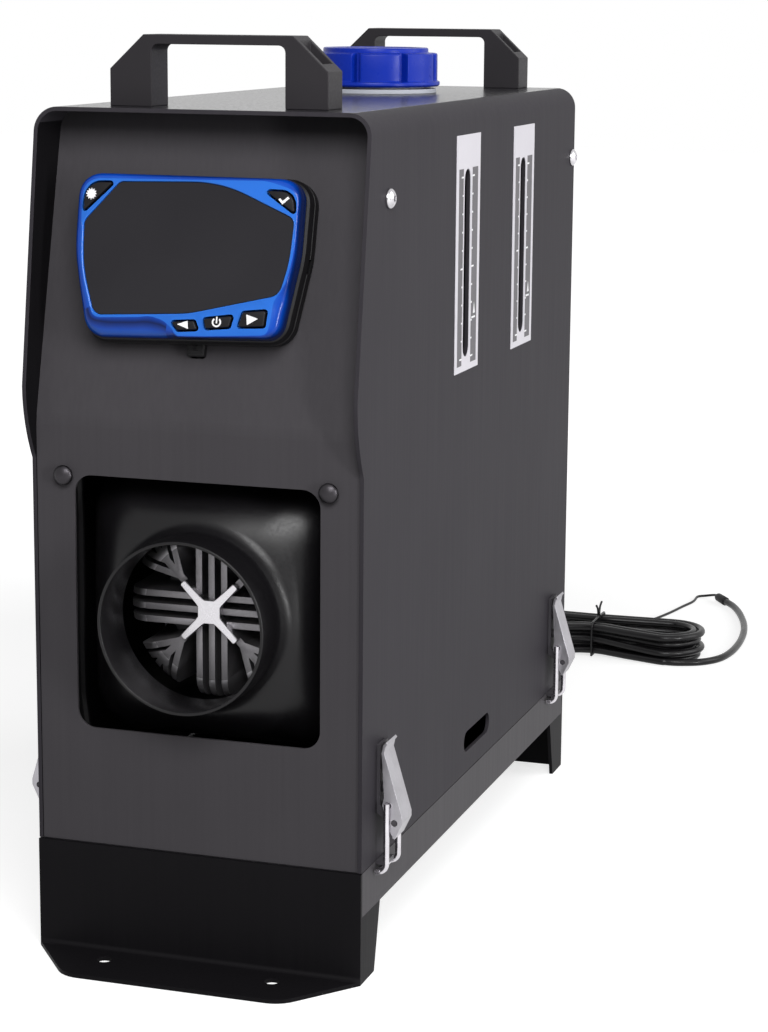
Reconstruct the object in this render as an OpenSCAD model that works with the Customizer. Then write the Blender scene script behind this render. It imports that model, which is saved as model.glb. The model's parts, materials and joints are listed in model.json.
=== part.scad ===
// Boxed diesel air heater: a folded sheet cover over a tray, with a tank, a blower heater and a controller.
// Millimetres. X runs across, Y runs front to back, Z is up. The origin is under the middle of the case.

/* [Case] */
// Width across the side walls of the cover
body_w = 150; // [142:1:170]
// Length from the front foot plate to the rear foot plate
body_l = 346.5; // [336:0.5:380]
// Height of the top of the cover above the floor
body_h = 368.6; // [362:0.2:390]
// Thickness of the cover sheet
cover_t = 1.8; // [1.2:0.1:2.4]
// Outer radius of the two long bends of the cover
cover_r = 10; // [6:1:16]
// How far the top of the front edge lies behind the front plate
brow_back = 9.5; // [4:0.5:14]
// How far the cheek of the front edge stands in front of the front plate
cheek_out = 8; // [4:0.5:12]
// Height of the cheek above the floor
cheek_z = 252; // [246:1:262]
// Height where the front edge starts to swing forward
hip_z = 220; // [216:1:228]

/* [Tray and feet] */
// Height of the tray above the floor
foot_h = 30; // [24:1:40]
// Height of the tray's outer walls
tray_h = 19.6; // [16:0.1:24]
// Thickness of the tray and foot sheet
tray_t = 1.8; // [1.2:0.1:2.2]
// How far the tray's locating lip stands above its wall
lip_h = 9; // [5:0.5:9]
// How far a foot flange reaches out from its plate
flange_out = 31.4; // [24:0.2:40]
// Distance between the two bolt holes of a foot
bolt_gap = 78; // [60:1:90]
// Distance of the bolt holes from the foot plate
bolt_out = 11.5; // [9:0.5:14]
// Diameter of the bolt holes
bolt_d = 6.5; // [5:0.5:8]

/* [Panels] */
// Thickness of the front and rear panel sheet
panel_t = 1.5; // [1:0.1:1.8]
// Height of the fold below the display
fold_z = 237; // [233:1:239]
// Lean of the display panel from upright, in degrees
panel_tilt = 13.5; // [10:0.5:14]
// Depth of the side flanges of both panels
flange_in = 14; // [12:1:18]
// Side of the square cut-out round the outlet
cutout = 111.6; // [100:0.2:114]

/* [Warm air side] */
// Height of the outlet axis above the floor
outlet_z = 154.5; // [152:0.5:158]
// Outer diameter of the outlet spigot
outlet_d = 75; // [60:1:80]
// How far the spigot stands in front of the front plate
outlet_out = 17.5; // [12:0.5:25]
// Wall of the spigot and its hood
outlet_wall = 1.5; // [1.2:0.1:2.5]
// Side of the square heater jacket
jacket_w = 118; // [116:1:122]
// Wall of the heater jacket
jacket_wall = 2.5; // [2:0.1:3.5]
// Radius of the warm air fan
fan_r = 48; // [40:1:50]
// Radius of the blower shaft
shaft_r = 4; // [3:0.5:5]

/* [Fuel] */
// Room between the tank and the roof of the cover
tank_head = 17.3; // [16.3:0.1:33]
// Room between the front foot plate and the tank
tank_front = 45.5; // [42:0.5:80]
// Wall of the tank
tank_wall = 3; // [2:0.5:4]
// Distance of the filler behind the middle of the case
cap_y = 66; // [60:1:90]
// Outer diameter of the filler neck
neck_d = 48; // [40:1:50]
// Diameter of the cap across its top
cap_d = 51.8; // [51.4:0.2:62]
// Height of the cap above the neck ring
cap_h = 19.6; // [17:0.1:22]

/* [Level windows] */
// Width of a level window
window_w = 9; // [6:1:12]
// Distance of a window's ends from the ends of its label
window_end = 11.5; // [9:0.5:24]

/* [Handles] */
// Width of a handle
handle_w = 98; // [92:1:110]
// Height of a handle
handle_h = 30; // [26:1:36]
// Depth of a handle from front to back
handle_d = 18; // [16:1:20]
// Width of the finger gap
grip_w = 60; // [54:1:64]
// Thickness of the grip bar
grip_t = 4; // [3:0.5:6]

/* [Controller] */
// Thickness of the controller housing
lcd_back = 10; // [8:0.5:12]
// Thickness of the controller bezel
lcd_front = 8; // [6:0.5:9]
// Travel of a key
key_travel = 0.8; // [0.5:0.1:1]

/* [Latches] */
// Width of a latch lever
lever_w = 13.5; // [12:0.5:16]
// Thickness of the latch sheet
lever_t = 1.2; // [1:0.1:1.4]
// Diameter of the bail wire
bail_d = 2.5; // [2:0.1:2.6]
// How far the latch hinge stands off the case side
hinge_out = 8.4; // [8.2:0.2:10]
// Height of the latch hinge above the seam
hinge_up = 18; // [17.5:0.5:22]

/* [Supply cord] */
// Diameter of the supply cord
cord_d = 4.5; // [4:0.1:5]
// Loops laid in each layer of the hank
hank_turns = 2; // [1:1:3]
// Layers of the hank
hank_layers = 4; // [2:2:4]
// Length of the straight runs of the hank
hank_run = 90; // [70:2:100]
// Diameter of the thin signal wire
wire_d = 1.8; // [1.4:0.1:2.2]

/* [Hidden] */
$fn = 64;

// Planes that the pieces share
eps = 0.01;
seat = 0.3;
yf = -body_l / 2;
yr = body_l / 2;
side_x = body_w / 2;
inner_x = side_x - cover_t;
seam_z = foot_h + tray_h;
seam_gap = 0.4;
roof_z = body_h - cover_t;
panel_back = 1.5;
panel_in = panel_back + panel_t;
tray_floor = foot_h + tray_t;
window_y = [-27, 69.5];
vent_y = 2.5;
vent_z = 65;
jacket_y1 = yr - 46.5;
exch_y1 = jacket_y1 - 72;

// Points of a rounded polygon: the corner list, its radii, and the steps of each arc
function corner(p, a, b, r, n) = r <= 0 ? [p] :
    let (u = (a - p) / norm(a - p), v = (b - p) / norm(b - p))
    let (h = acos(u * v) / 2, c = p + (u + v) / norm(u + v) * r / sin(h))
    let (s = p + u * r / tan(h) - c, e = p + v * r / tan(h) - c)
    let (a0 = atan2(s.y, s.x), turn = (atan2(e.y, e.x) - a0 + 540) % 360 - 180)
    [for (i = [0 : n]) c + r * [cos(a0 + turn * i / n), sin(a0 + turn * i / n)]];
function rounded(p, r, n = 6) = [for (i = [0 : len(p) - 1])
    each corner(p[i], p[(i + len(p) - 1) % len(p)], p[(i + 1) % len(p)], r[i], n)];

// A square with true round corners
module round_square(w, h, r) {
    square([w - 2 * r, h], center = true);
    square([w, h - 2 * r], center = true);
    for (x = [-1, 1], y = [-1, 1])
        translate([x * (w / 2 - r), y * (h / 2 - r)])
            circle(r);
}

// A slot with round ends, upright in its own plane
module slot(w, l) {
    square([w, l - w], center = true);
    for (y = [-1, 1])
        translate([0, y * (l - w) / 2])
            circle(w / 2);
}

// Turns a flat outline into a slab that runs along Y from y0 to y1, with its own y axis up
module along_y(y0, y1) {
    translate([0, y1, 0])
        rotate([90, 0, 0])
            linear_extrude(y1 - y0)
                children();
}

// Turns a flat outline drawn in Y and Z into a slab that runs along X from x0 to x1
module along_x(x0, x1) {
    translate([x0, 0, 0])
        rotate([90, 0, 90])
            linear_extrude(x1 - x0)
                children();
}

// A drilled hole or a pin along X, Y or Z
module pin_y(x, z, y0, y1, r) {
    translate([x, y1, z])
        rotate([90, 0, 0])
            cylinder(h = y1 - y0, r = r);
}
module pin_x(y, z, x0, x1, r) {
    translate([x0, y, z])
        rotate([0, 90, 0])
            cylinder(h = x1 - x0, r = r);
}

// Cover

// The front edge of the side walls swings forward to the cheek and leans back to the brow
function hip_y(z) = let (u = (z - hip_z) / (cheek_z - hip_z))
    0.8 - (cheek_out + 0.8) * (1 - (1 - u) * (1 - u));
function edge_points() = concat(
    [[yf + 0.8, seam_z + seam_gap]],
    [for (i = [0 : 8]) let (z = hip_z + (cheek_z - hip_z) * i / 8) [yf + hip_y(z), z]],
    [[yf + brow_back, body_h]]);

module cover_outline(inset) {
    w = body_w - 2 * inset;
    h = body_h - inset;
    r = cover_r - inset;
    translate([-w / 2, 0])
        square([w, h - r]);
    translate([-w / 2 + r, 0])
        square([w - 2 * r, h]);
    for (x = [-1, 1])
        translate([x * (w / 2 - r), h - r])
            circle(r);
}

screw_z = body_h - 35.6;
front_screw_y = yf + 31;
rear_screw_y = yr - 6;
handle_y = [yf + 38, yr - 9.5];
handle_screw_x = handle_w / 2 - 8.5;
m5_hole = 2.6;

module cover_shell() {
    color("#4a484c")
        difference() {
            intersection() {
                along_y(yf - cheek_out - 5, yr)
                    cover_outline(0);
                along_x(-side_x - 1, side_x + 1)
                    polygon(concat(edge_points(), [[yr, body_h], [yr, seam_z + seam_gap]]));
            }
            along_y(yf - cheek_out - 6, yr + 1)
                cover_outline(cover_t);
            for (y = window_y)
                translate([0, y, window_z])
                    along_x(inner_x - 1, side_x + 1)
                        slot(window_w, window_l);
            for (x = [-1, 1]) {
                translate([x * (side_x - cover_t / 2), vent_y, vent_z])
                    rotate([90, 0, 90])
                        rotate(90)
                            linear_extrude(cover_t + 2, center = true)
                                slot(10, 44);
                for (y = [front_screw_y, rear_screw_y])
                    pin_x(y, screw_z, x > 0 ? inner_x - 1 : -side_x - 1, x > 0 ? side_x + 1 : -inner_x + 1, m5_hole);
                for (y = handle_y)
                    translate([x * handle_screw_x, y, roof_z - 1])
                        cylinder(h = cover_t + 2, r = m5_hole);
            }
            translate([0, cap_y, roof_z - 1])
                cylinder(h = cover_t + 2, r = neck_d / 2 + 0.5);
        }
}

// Front panel: an upright part with the outlet cut-out, and a display part that leans back

function panel_y(z) = yf + panel_back + max(0, z - fold_z) * tan(panel_tilt);
front_screw_x = 60;
front_screw_z = outlet_z + 59;

module panel_side(depth) {
    polygon([[panel_y(0), seam_z + seam_gap], [panel_y(0), fold_z], [panel_y(roof_z), roof_z],
        [panel_y(roof_z) + depth / cos(panel_tilt), roof_z],
        [panel_y(0) + depth, fold_z - depth * tan(panel_tilt / 2)], [panel_y(0) + depth, seam_z + seam_gap]]);
}

// Puts a piece on the display panel: x across, y up the slope from the fold, z out of the panel
module on_panel() {
    translate([0, yf + panel_back, fold_z])
        rotate([90 - panel_tilt, 0, 0])
            translate([0, lcd_up, 0])
                children();
}

lead_slot = [-1.5, 32.5];
lcd_up = 0.55 * (roof_z - fold_z - 129.8);

module front_panel() {
    color("#3e3c3f")
        difference() {
            intersection() {
                union() {
                    along_x(-inner_x, inner_x)
                        panel_side(panel_t);
                    for (x = [-inner_x, inner_x - panel_t])
                        along_x(x, x + panel_t)
                            panel_side(flange_in);
                }
                along_y(yf - 5, yf + 80)
                    cover_outline(cover_t);
            }
            translate([0, 0, outlet_z + 3.5])
                along_y(yf - 1, yf + panel_in + 1)
                    round_square(cutout, cutout, 8);
            for (x = [-1, 1]) {
                pin_x(front_screw_y, screw_z, x * side_x - 5, x * side_x + 5, m5_hole);
                pin_y(x * front_screw_x, front_screw_z, yf, yf + panel_in + 1, m5_hole);
            }
            on_panel()
                translate([lead_slot.x, lead_slot.y, -panel_t - 1])
                    linear_extrude(panel_t + 2)
                        round_square(7.5, 6.5, 1.5);
        }
}

// Rear panel

grille_r = 50;
gland_x = -26;
gland_z = 74;
gland_r = 6;
gland_nose = 22;

module rear_panel() {
    color("#3a383b")
        difference() {
            union() {
                translate([-inner_x, yr - panel_in, seam_z + seam_gap])
                    cube([2 * inner_x, panel_t, roof_z - seam_z - seam_gap - cover_r]);
                translate([-inner_x + cover_r, yr - panel_in, seam_z + seam_gap])
                    cube([2 * (inner_x - cover_r), panel_t, roof_z - seam_z - seam_gap]);
                for (x = [-inner_x, inner_x - panel_t])
                    translate([x, yr - panel_in - flange_in, seam_z + lip_h + 1])
                        cube([panel_t, flange_in + panel_t, roof_z - seam_z - lip_h - 1 - cover_r]);
            }
            pin_y(0, outlet_z, yr - panel_in - 1, yr, grille_r + 0.2);
            pin_y(gland_x, gland_z, yr - panel_in - 1, yr, gland_r + 0.2);
            for (x = [-1, 1])
                pin_x(rear_screw_y, screw_z, x * side_x - 5, x * side_x + 5, m5_hole);
        }
}

// Tray: a shallow folded box with a lip that the cover and the panels slip over

exhaust_y = exch_y1 - 49.75;
air_y = exch_y1 + 10.25;
pipe_x = -14;
exhaust_r = 11.5;
air_r = 12;
feed_hole = [14, exch_y1 - 12.75];

module base_tray() {
    wall = panel_in - tray_t;
    color("#363437")
        difference() {
            union() {
                difference() {
                    translate([-side_x, yf + tray_t, foot_h])
                        cube([body_w, body_l - 2 * tray_t, tray_h]);
                    translate([-inner_x, yf + panel_in, tray_floor])
                        cube([2 * inner_x, body_l - 2 * panel_in, tray_h]);
                }
                difference() {
                    translate([-inner_x, yf + panel_in, tray_floor])
                        cube([2 * inner_x, body_l - 2 * panel_in, seam_z + lip_h - tray_floor]);
                    translate([-inner_x + wall, yf + panel_in + wall, tray_floor - 1])
                        cube([2 * (inner_x - wall), body_l - 2 * (panel_in + wall), tray_h + lip_h + 2]);
                    for (x = [-inner_x - 1, inner_x - flange_in])
                        translate([x, yf + panel_in, seam_z + seam_gap / 2])
                            cube([flange_in + 1, flange_in + 1, lip_h + 1]);
                }
            }
            translate([pipe_x, exhaust_y, foot_h - 1])
                cylinder(h = tray_t + 2, r = exhaust_r + 2);
            translate([pipe_x, air_y, foot_h - 1])
                cylinder(h = tray_t + 2, r = air_r + 2);
        }
}

// Feet: an upright plate, two tapered side returns and a flange that bolts down

function flange_outline() = rounded(
    [[-side_x, 0], [-side_x + 25, -flange_out], [side_x - 25, -flange_out], [side_x, 0]],
    [0, 14, 14, 0]);

module foot() {
    difference() {
        union() {
            translate([-side_x, 0, 0])
                cube([body_w, tray_t, seam_z]);
            linear_extrude(tray_t)
                polygon(concat(flange_outline(), [[side_x, tray_t], [-side_x, tray_t]]));
            for (x = [-side_x, side_x - tray_t])
                along_x(x, x + tray_t)
                    polygon([[0, 0], [0, foot_h], [26.3, foot_h], [18.6, 0]]);
        }
        for (x = [-1, 1])
            translate([x * bolt_gap / 2, -bolt_out, -1])
                cylinder(h = tray_t + 2, r = bolt_d / 2);
    }
}

module front_foot() {
    color("#2e2c2f")
        translate([0, yf, 0])
            foot();
}

module rear_foot() {
    color("#2e2c2f")
        translate([0, yr, 0])
            mirror([0, 1, 0])
                foot();
}

// Handles: a moulded bridge with sloped ends, each end hollowed for its screw

module handle() {
    w = handle_w / 2;
    slope = 15.5;
    difference() {
        along_y(-handle_d / 2, handle_d / 2)
            difference() {
                polygon([[-w, 0], [-w, handle_h - slope + 1], [-w + slope, handle_h],
                    [w - slope, handle_h], [w, handle_h - slope + 1], [w, 0]]);
                polygon(rounded([[-grip_w / 2, -1], [-grip_w / 2, handle_h - grip_t],
                    [grip_w / 2, handle_h - grip_t], [grip_w / 2, -1]], [0, 3, 3, 0]));
            }
        for (x = [-1, 1]) {
            translate([x * handle_screw_x - 5, -handle_d / 2 + 3, 6])
                cube([10, handle_d - 6, handle_h]);
            translate([x * handle_screw_x, 0, -1])
                cylinder(h = 10, r = m5_hole);
        }
    }
}

module front_handle() {
    color("#3b393b")
        translate([0, handle_y[0], body_h])
            handle();
}

module rear_handle() {
    color("#3b393b")
        translate([0, handle_y[1], body_h])
            handle();
}

// Fasteners

head_r = 4.3;
head_h = 3;
shank_r = 2.5;

// A domed screw with its head's seat at z = 0 and its shank pointing down
module dome_screw(shank) {
    translate([0, 0, -shank])
        cylinder(h = shank + eps, r = shank_r);
    rotate_extrude()
        intersection() {
            translate([0, head_h - (head_r * head_r + head_h * head_h) / (2 * head_h)])
                circle((head_r * head_r + head_h * head_h) / (2 * head_h));
            square([head_r, head_h + 1]);
        }
}

module case_screws() {
    color("#c9c7cb") {
        for (x = [-1, 1], y = [front_screw_y, rear_screw_y])
            translate([x * side_x, y, screw_z])
                rotate([0, x * 90, 0])
                    dome_screw(9);
        for (x = [-1, 1], y = handle_y)
            translate([x * handle_screw_x, y, body_h + 6])
                dome_screw(12);
    }
}

module panel_screws() {
    color("#48464a")
        for (x = [-1, 1])
            translate([x * front_screw_x, yf + panel_back, front_screw_z])
                rotate([90, 0, 0])
                    dome_screw(8);
}

// Fuel: shelf, tank, neck, gasket and cap

shelf_z = 237;
shelf_t = 1.5;
shelf_y0 = yf + 34;
tank_z = shelf_z + shelf_t;
tank_w = 2 * inner_x - 8;
tank_y0 = yf + tank_front;
tank_l = yr - panel_in - flange_in - 8 - tank_y0;
tank_h = roof_z - tank_head - tank_z;
tank_top = tank_z + tank_h;
neck_ring_h = 2.2;
ring_z = body_h + neck_ring_h;
neck_bore = neck_d / 2 - 4;
neck_top = ring_z + cap_h - 7.4;
gasket_h = 2;

module tank_shelf() {
    color("#8c8a8d") {
        translate([-inner_x, shelf_y0, shelf_z])
            cube([2 * inner_x, yr - panel_in - flange_in - 1 - shelf_y0, shelf_t]);
        for (x = [-inner_x, inner_x - shelf_t])
            translate([x, shelf_y0, shelf_z - 12])
                cube([shelf_t, yr - panel_in - flange_in - 1 - shelf_y0, 12]);
    }
}

module tank_block(inset) {
    w = tank_w - 2 * inset;
    translate([0, 0, tank_z + tank_h / 2])
        along_y(tank_y0 + inset, tank_y0 + tank_l - inset)
            round_square(w, tank_h - 2 * inset, 10 - inset);
}

module fuel_tank() {
    color("#3b3a3d")
        difference() {
            tank_block(0);
            tank_block(tank_wall);
            translate([0, cap_y, tank_top - tank_wall - 1])
                cylinder(h = tank_wall + 2, r = neck_d / 2 + 0.15);
            pin_y(-50, tank_z + 12, tank_y0 - 1, tank_y0 + tank_wall + 1, 2.6);
        }
}

module filler_neck() {
    color("#a0a3ac")
        difference() {
            union() {
                translate([0, cap_y, tank_top - tank_wall])
                    cylinder(h = neck_top - tank_top + tank_wall, r = neck_d / 2);
                translate([0, cap_y, tank_top])
                    cylinder(h = 3, r = neck_d / 2 + 5);
                translate([0, cap_y, body_h])
                    cylinder(h = neck_ring_h, r = cap_flange_r - 1.7);
            }
            translate([0, cap_y, tank_top - tank_wall - 1])
                cylinder(h = neck_top, r = neck_bore);
        }
}

module cap_gasket() {
    color("#222022")
        translate([0, cap_y, neck_top + seat])
            difference() {
                cylinder(h = gasket_h, r = neck_d / 2 - 0.5);
                translate([0, 0, -1])
                    cylinder(h = gasket_h + 2, r = neck_bore);
            }
}

cap_seat = 1;
cap_flange_h = 2.5;
cap_flange_r = cap_d / 2 + 5.8;
cap_lobe_r = cap_d / 2 + 4.6;
cap_lobes = 8;
cap_groove_w = 3.2;

module fuel_cap() {
    top = cap_h + neck_ring_h;
    color("#1430a8")
        translate([0, cap_y, ring_z + cap_seat])
            difference() {
                union() {
                    cylinder(h = cap_flange_h, r = cap_flange_r);
                    cylinder(h = cap_h - cap_seat, r = cap_d / 2);
                    difference() {
                        cylinder(h = cap_h - cap_seat - 2.5, r = cap_lobe_r);
                        for (i = [0 : cap_lobes - 1])
                            rotate(i * 360 / cap_lobes)
                                translate([cap_d / 2 + 0.2, -cap_groove_w / 2, cap_flange_h])
                                    cube([8, cap_groove_w, cap_h]);
                    }
                }
                translate([0, 0, -1])
                    cylinder(h = neck_top + 2 * seat + gasket_h - ring_z - cap_seat + 1, r = neck_d / 2 + 0.4);
                translate([0, 0, cap_h - cap_seat - 2.7])
                    difference() {
                        cylinder(h = 4, r = cap_d / 2 - 4);
                        translate([-cap_d, -5, -1])
                            cube([2 * cap_d, 10, 6]);
                    }
            }
}

// Level labels: a thin printed plate round each window

label_w = 38;
label_t = 0.4;
label_z = [shelf_z + 9, body_h - 14.6];
window_l = label_z[1] - label_z[0] - 2 * window_end;
window_z = (label_z[0] + label_z[1]) / 2 - 4.5;

module level_labels() {
    color("#c8c5cc")
        for (y = window_y)
            along_x(side_x, side_x + label_t)
                difference() {
                    polygon([[y - label_w / 2, label_z[0]], [y + label_w / 2, label_z[0]],
                        [y + label_w / 2, label_z[1]], [y - label_w / 2, label_z[1]]]);
                    translate([y, window_z])
                        slot(window_w + 1, window_l + 1);
                }
}

// Controller on the display panel

lcd_foot = 35.5;

function lcd_outline(gx, gy) = rounded(
    [[-54.9 - gx, 104 + gy], [45 + gx, 103.6 + gy], [45.1 + gx, 72], [39.5 + gx, 37 - gy],
        [-46.6 - gx, 34.7 - gy], [-54.8 - gx, 72]],
    [10, 9, 60, 8, 9, 60]);
function screen_outline() = rounded(
    [[-50.5, 83], [-35.6, 100], [9.5, 101], [43, 86.8], [42.3, 69], [38.9, 55.2], [-0.5, 46], [-42.6, 43.8],
        [-49.4, 64]],
    [5, 4, 60, 4, 60, 6, 60, 5, 60]);

key_shapes = [
    rounded([[-50.6, 86.9], [-50.4, 99.6], [-38.2, 99.8]], [1, 4, 1], 3),
    rounded([[30.4, 98.1], [42.9, 97.9], [43.2, 89.5]], [1, 4, 1], 3),
    rounded([[-6.9, 42.5], [3.2, 43.3], [5.1, 39.4], [-3.9, 38.7]], [1, 1, 1, 1], 3),
    rounded([[7.3, 44.2], [19.4, 46], [18.3, 41], [8.4, 40]], [1, 1, 1, 1], 3),
    rounded([[24, 47.7], [34.4, 48.8], [34, 41.9], [22.6, 41.3]], [1, 1, 1, 1], 3)];
key_gap = 0.3;
key_proud = key_travel + 0.1;

module key_outline(i, grow) {
    c = [for (k = [0, 1]) let (s = key_shapes[i]) [for (p = s) p[k]] * [for (p = s) 1] / len(s)];
    d = max([for (p = key_shapes[i]) norm(p - c)]);
    polygon([for (p = key_shapes[i]) c + (p - c) * (1 + grow / d * 1.6)]);
}

module lcd_housing() {
    color("#1a191b")
        on_panel()
            difference() {
                linear_extrude(lcd_back)
                    polygon(lcd_outline(2, 0.5));
                translate([0, 0, 2])
                    linear_extrude(lcd_back)
                        polygon(lcd_outline(-3, -3));
                translate([lead_slot.x, lcd_foot, 3.5])
                    rotate([90, 0, 0])
                        cylinder(h = 12, r = 2.4, center = true);
            }
}

module lcd_bezel() {
    color("#0a4fb5")
        on_panel()
            translate([0, 0, lcd_back])
                difference() {
                    union() {
                        linear_extrude(lcd_front - 1.6)
                            polygon(lcd_outline(0, 0));
                        linear_extrude(lcd_front)
                            polygon(lcd_outline(-1.6, -1.6));
                    }
                    translate([0, 0, -1])
                        linear_extrude(lcd_front - 1)
                            polygon(lcd_outline(-3, -3));
                    translate([0, 0, -1])
                        linear_extrude(lcd_front + 2)
                            polygon(screen_outline());
                    for (i = [0 : 4])
                        translate([0, 0, -1])
                            linear_extrude(lcd_front + 2)
                                key_outline(i, key_gap);
                }
}

module lcd_screen() {
    color("#3f3d40")
        on_panel()
            translate([0, 0, lcd_back + lcd_front - 3.6])
                linear_extrude(3)
                    polygon(screen_outline());
}

module lcd_key(i) {
    color("#333134")
        on_panel()
            translate([0, 0, lcd_back + lcd_front + key_proud - 3.6])
                linear_extrude(3.6)
                    key_outline(i, 0);
}

module key_mode() lcd_key(0);
module key_confirm() lcd_key(1);
module key_left() lcd_key(2);
module key_power() lcd_key(3);
module key_right() lcd_key(4);

// Warm air side

axis_z = outlet_z;
hood_y = yf + 34;
exch_y0 = yf + 16;

module hood_shape(inset) {
    hull() {
        translate([0, hood_y, axis_z])
            rotate([90, 0, 0])
                linear_extrude(4)
                    round_square(jacket_w - 2 * inset, jacket_w - 2 * inset, 20 - inset, $fn = 32);
        pin_y(0, axis_z, yf + 6, yf + 7, outlet_d / 2 + 9 - inset, $fn = 48);
        pin_y(0, axis_z, yf, yf + 1, outlet_d / 2 + 2 - inset, $fn = 48);
    }
}

module outlet_hood() {
    color("#232224")
        difference() {
            union() {
                hood_shape(0);
                pin_y(0, axis_z, yf - outlet_out, yf + 2, outlet_d / 2);
            }
            difference() {
                translate([0, 0.5, 0])
                    hood_shape(2);
                translate([0, yf, axis_z])
                    cube([200, 4, 200], center = true);
            }
            pin_y(0, axis_z, yf - outlet_out - 1, yf + 12, outlet_d / 2 - outlet_wall);
        }
}

module jacket_ring() {
    translate([0, 0, axis_z])
        along_y(hood_y, jacket_y1)
            difference() {
                round_square(jacket_w, jacket_w, 20);
                round_square(jacket_w - 2 * jacket_wall, jacket_w - 2 * jacket_wall, 20 - jacket_wall);
            }
}

module jacket_lower() {
    color("#2a292b")
        difference() {
            jacket_ring();
            translate([-100, yf, axis_z])
                cube([200, body_l, 100]);
            translate([pipe_x, exhaust_y, 60])
                cylinder(h = 60, r = exhaust_r + 0.2);
            translate([pipe_x, air_y, 60])
                cylinder(h = 60, r = air_r + 0.2);
            translate([feed_hole.x, feed_hole.y, 60])
                cylinder(h = 60, r = 3);
        }
}

module jacket_upper() {
    color("#2a292b")
        difference() {
            jacket_ring();
            translate([-100, yf, axis_z - 100])
                cube([200, body_l, 100]);
        }
}

fin_t = 2.8;
fin_reach = 46;
fin_pitch = 5.8;
fin_back = 3;
tube_back = 24;
tube_r = 29;
chamber_r = 25;
hub = 9;
star_l = 34;
star_w = 3.2;

// One quarter of the fins: three straight ribs, a diagonal arm and its side ribs
module fin_quarter() {
    for (x = [-fin_pitch, 0, fin_pitch])
        translate([x - fin_t / 2, x == 0 ? 0 : 7])
            square([fin_t, fin_reach - (x == 0 ? 0 : 7)]);
    rotate(-45) {
        translate([-1.6, 0])
            square([3.2, 44]);
        for (d = [20, 29])
            for (s = [-1, 1])
                translate([0, d])
                    rotate(s * 30)
                        translate([-fin_t / 2, 0])
                            square([fin_t, 60 - d]);
    }
}

module fin_outline() {
    intersection() {
        union() {
            for (a = [0 : 90 : 270])
                rotate(a)
                    fin_quarter();
            square(hub, center = true);
        }
        round_square(2 * fin_reach, 2 * fin_reach, 18);
    }
}

foot_block_z = axis_z - jacket_w / 2 + jacket_wall;

module heat_exchanger() {
    color("#b9b7ba")
        difference() {
            union() {
                translate([0, 0, axis_z]) {
                    along_y(exch_y0 + fin_back, exch_y1 - 6)
                        fin_outline();
                    along_y(exch_y0, exch_y0 + fin_back) {
                        square(hub, center = true);
                        for (a = [45, 135])
                            rotate(a)
                                square([star_l, star_w], center = true);
                    }
                }
                pin_y(0, axis_z, exch_y0 + tube_back, exch_y1, tube_r);
                pin_y(0, axis_z, exch_y1 - 6, exch_y1, tube_r + 15);
                translate([pipe_x - 18, exhaust_y - 20, foot_block_z])
                    cube([54, exch_y1 - 6 - exhaust_y + 20, 26]);
            }
            pin_y(0, axis_z, exch_y0 + tube_back + 6, exch_y1 + 1, chamber_r);
            translate([pipe_x, exhaust_y, foot_block_z - 1])
                cylinder(h = 20, r = exhaust_r + 0.1);
            translate([plug_x, plug_y, axis_z + 10])
                cylinder(h = 60, r = 5.1);
        }
}

module burner_tube() {
    color("#8d8a86")
        difference() {
            union() {
                pin_y(0, axis_z, exch_y1 - 120, exch_y1, 17);
                pin_y(0, axis_z, exch_y1 - 4, exch_y1, chamber_r - 0.2);
            }
            pin_y(0, axis_z, exch_y1 - 121, exch_y1 + 1, 15);
            translate([plug_x, plug_y, axis_z + 5])
                cylinder(h = 60, r = 5.1);
        }
}

plug_x = 0;
plug_y = exch_y1 - 16;

module glow_plug() {
    color("#d9d6cf") {
        translate([plug_x, plug_y, axis_z + 12])
            cylinder(h = 28, r = 2.4);
        translate([plug_x, plug_y, axis_z + 24])
            cylinder(h = 24, r = 5);
        translate([plug_x, plug_y, axis_z + 48])
            cylinder(h = 4, r = 3);
    }
}

motor_y0 = exch_y1;
cup_l = 16;
motor_l = 50;
motor_y1 = motor_y0 + motor_l;
fan_y0 = motor_y1 + 4;
fan_l = 14;
rotor_gap = 0.05;

module blower_motor() {
    color("#6b6a6d")
        difference() {
            union() {
                pin_y(0, axis_z, motor_y0, motor_y0 + cup_l + 4, tube_r + 13);
                pin_y(0, axis_z, motor_y0 + cup_l, motor_y1, tube_r - 4);
                translate([pipe_x - 16, motor_y0, foot_block_z])
                    cube([32, cup_l + 8, 24]);
                translate([-jacket_w / 2 + jacket_wall, motor_y0 + cup_l - 4, axis_z - 6])
                    cube([jacket_w - 2 * jacket_wall, 8, 12]);
            }
            pin_y(0, axis_z, motor_y0 - 1, motor_y0 + cup_l, tube_r + 3);
            pin_y(0, axis_z, motor_y0, motor_y1 + 1, shaft_r + rotor_gap);
            translate([pipe_x, air_y, foot_block_z - 1])
                cylinder(h = 18, r = air_r + 0.1);
        }
}

module blade_ring(r0, r1, y0, l, count, tilt) {
    for (i = [0 : count - 1])
        translate([0, y0 + l / 2, axis_z])
            rotate([0, i * 360 / count, 0])
                translate([(r0 + r1) / 2, 0, 0])
                    rotate([tilt, 0, 0])
                        cube([r1 - r0, l / cos(tilt) - 4, 1.4], center = true);
}

module warm_air_fan() {
    color("#d8d6d2") {
        difference() {
            union() {
                pin_y(0, axis_z, fan_y0, fan_y0 + fan_l, 14);
                blade_ring(12, fan_r, fan_y0, fan_l, 9, 35);
            }
            pin_y(0, axis_z, fan_y0 - 1, fan_y0 + fan_l - 3, shaft_r);
        }
        pin_y(0, axis_z, motor_y0 + 3, fan_y0 + fan_l - 3, shaft_r);
    }
}

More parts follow.
